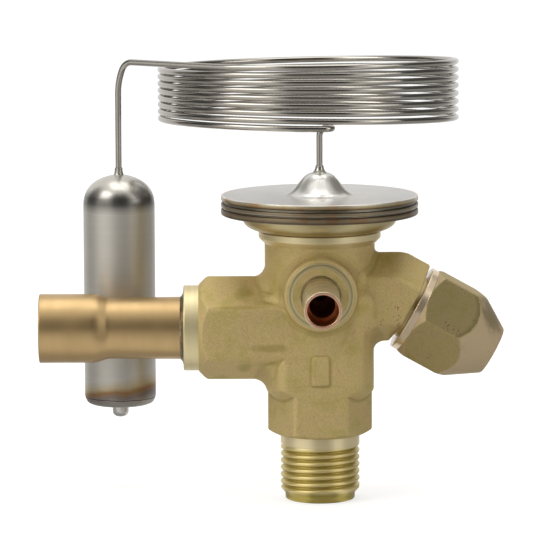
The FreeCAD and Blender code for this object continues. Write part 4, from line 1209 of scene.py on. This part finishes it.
capillary = carried_circle("capillary", line, capillary_radius)
seated(capillary, "valve", "capillary_steel", finishes["capillary_steel"], "capillary_tube")
print("capillary length in mm:", round(float(np.linalg.norm(np.diff(line, axis=0), axis=1).sum())))

# %% [markdown]
# ## The pieces inside
# Springs, seals, the setting fork and the cartridge can't be seen from outside. Their packed
# meshes stay, and each gets the finish of its material.

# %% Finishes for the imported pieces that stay
for part in frame["record"]["subparts"]:
    piece = nodes[part["node"]]
    if not piece.hide_render:
        piece.material_slots[0].material = finishes[part["material_slot"]]
        print(part["node"], "keeps its mesh, finish:", part["material_slot"])

# %% [markdown]
# ## Studio
# The valve stands on a pale floor in soft light from all round. Bright metal has no colour of its
# own, so it shows what surrounds it: white cards, a black strip on the viewer's side that draws the
# dark lines along the coil, and dark grey strips to the left and right. The floor's own glow makes
# the background white, while the part of its light that comes from the lamps keeps the shadow.

# %% Cards round the valve
def cards_by_bearing(tree, where):
    """White, grey and black cards by the bearing from the viewer's side, atan2(x, -y)."""
    apart = node(tree, "ShaderNodeSeparateXYZ", {"Vector": where}).outputs
    bearing = maths(tree, "ARCTAN2", apart["X"], maths(tree, "MULTIPLY", apart["Y"], -1.0))
    return ramp(
        tree, mapped(tree, bearing, -math.pi, math.pi),
        (0.0, 1.0), (0.14, 1.0), (0.17, 0.10), (0.27, 0.10), (0.30, 1.1), (0.42, 1.1), (0.45, 0.03),
        (0.585, 0.03), (0.615, 1.1), (0.655, 1.1), (0.69, 0.12), (0.87, 0.12), (0.91, 1.0), (1.0, 1.0),
    )


# %% Floor
paper_half, paper_z = 4000.0, -0.05
paper_corners = [(-1, -1), (1, -1), (1, 1), (-1, 1)]
floor_points = np.array([(x * paper_half, y * paper_half, paper_z) for x, y in paper_corners])
floor = mesh_piece("floor", floor_points, np.array([[0, 1, 2, 3]]))
paper = bpy.data.materials.new("paper")
paper.use_nodes = True
tree = paper.node_tree
tree.nodes.remove(tree.nodes["Principled BSDF"])
rays = node(tree, "ShaderNodeLightPath").outputs
cards = cards_by_bearing(tree, node(tree, "ShaderNodeTexCoord").outputs["Object"])
mirrored = blend(tree, 0.5, cards, (0.75, 0.75, 0.75))
clear = maths(tree, "MAXIMUM", rays["Is Camera Ray"], rays["Is Transmission Ray"])
seen = blend(tree, clear, (0, 0, 0), (0.66, 0.66, 0.66))
glow_colour = blend(tree, rays["Is Glossy Ray"], seen, mirrored)
matte_colour = blend(tree, rays["Is Glossy Ray"], (0.5, 0.5, 0.5), (0.05, 0.05, 0.05))
matte = node(tree, "ShaderNodeBsdfDiffuse", {"Color": matte_colour}).outputs[0]
glow = node(tree, "ShaderNodeEmission", {"Color": glow_colour, "Strength": 1.0}).outputs[0]
both = node(tree, "ShaderNodeAddShader", {0: matte, 1: glow}).outputs[0]
tree.links.new(both, tree.nodes["Material Output"].inputs["Surface"])
floor.data.materials.append(paper)

# %% World
world = bpy.data.worlds.new("studio")
bpy.context.scene.world = world
world.use_nodes = True
tree = world.node_tree
way = node(tree, "ShaderNodeTexCoord").outputs["Generated"]
height = node(tree, "ShaderNodeSeparateXYZ", {"Vector": way}).outputs["Z"]
overhead = mapped(tree, height, 0.62, 0.92, kind="SMOOTHSTEP")
around = blend(tree, overhead, cards_by_bearing(tree, way), (1, 1, 1))
to_camera = node(tree, "ShaderNodeLightPath").outputs["Is Camera Ray"]
backdrop = tree.nodes["Background"]
tree.links.new(blend(tree, to_camera, around, (1.1, 1.1, 1.1)), backdrop.inputs["Color"])
backdrop.inputs["Strength"].default_value = 0.95

# %% Lamps
def soft_lamp(name, place, size, power):
    """A square area lamp, in millimetres and watts, that looks at the valve's middle."""
    lamp = bpy.data.lights.new(name, "AREA")
    lamp.size = size * MM
    lamp.energy = power
    made = bpy.data.objects.new(name, lamp)
    made.location = Vector(place) * MM
    made.rotation_euler = (Vector((0, 0, 40)) * MM - made.location).to_track_quat("-Z", "Y").to_euler()
    bpy.context.scene.collection.objects.link(made)


soft_lamp("key_from_left", (-500, -350, 520), 420, 1.6)
soft_lamp("fill_from_right", (520, -260, 300), 300, 0.5)
soft_lamp("top", (0, 80, 700), 480, 1.2)

# %% [markdown]
# ## Camera
# A long lens from nearly a metre away, a little above the valve and a touch to its left.

# %% Camera
camera_data = bpy.data.cameras.new("portrait")
camera_data.sensor_width = 36.0
camera_data.lens = 278.0
camera_data.clip_end = 20.0
camera = bpy.data.objects.new("portrait", camera_data)
tilt, azimuth, roll = np.radians((7.66, -0.5, -0.2)).tolist()
looked_at, distance = Vector((-8.95, 0, 45.3)), 850
level_part = math.cos(tilt)
back = Vector((math.sin(azimuth) * level_part, -math.cos(azimuth) * level_part, math.sin(tilt)))
camera.location = (looked_at + back * distance) * MM
facing = (-back).to_track_quat("-Z", "Y").to_matrix()
camera.rotation_euler = (facing @ Matrix.Rotation(roll, 3, "Z")).to_euler()
bpy.context.scene.collection.objects.link(camera)
bpy.context.scene.camera = camera
bpy.context.scene.view_settings.view_transform = "Standard"
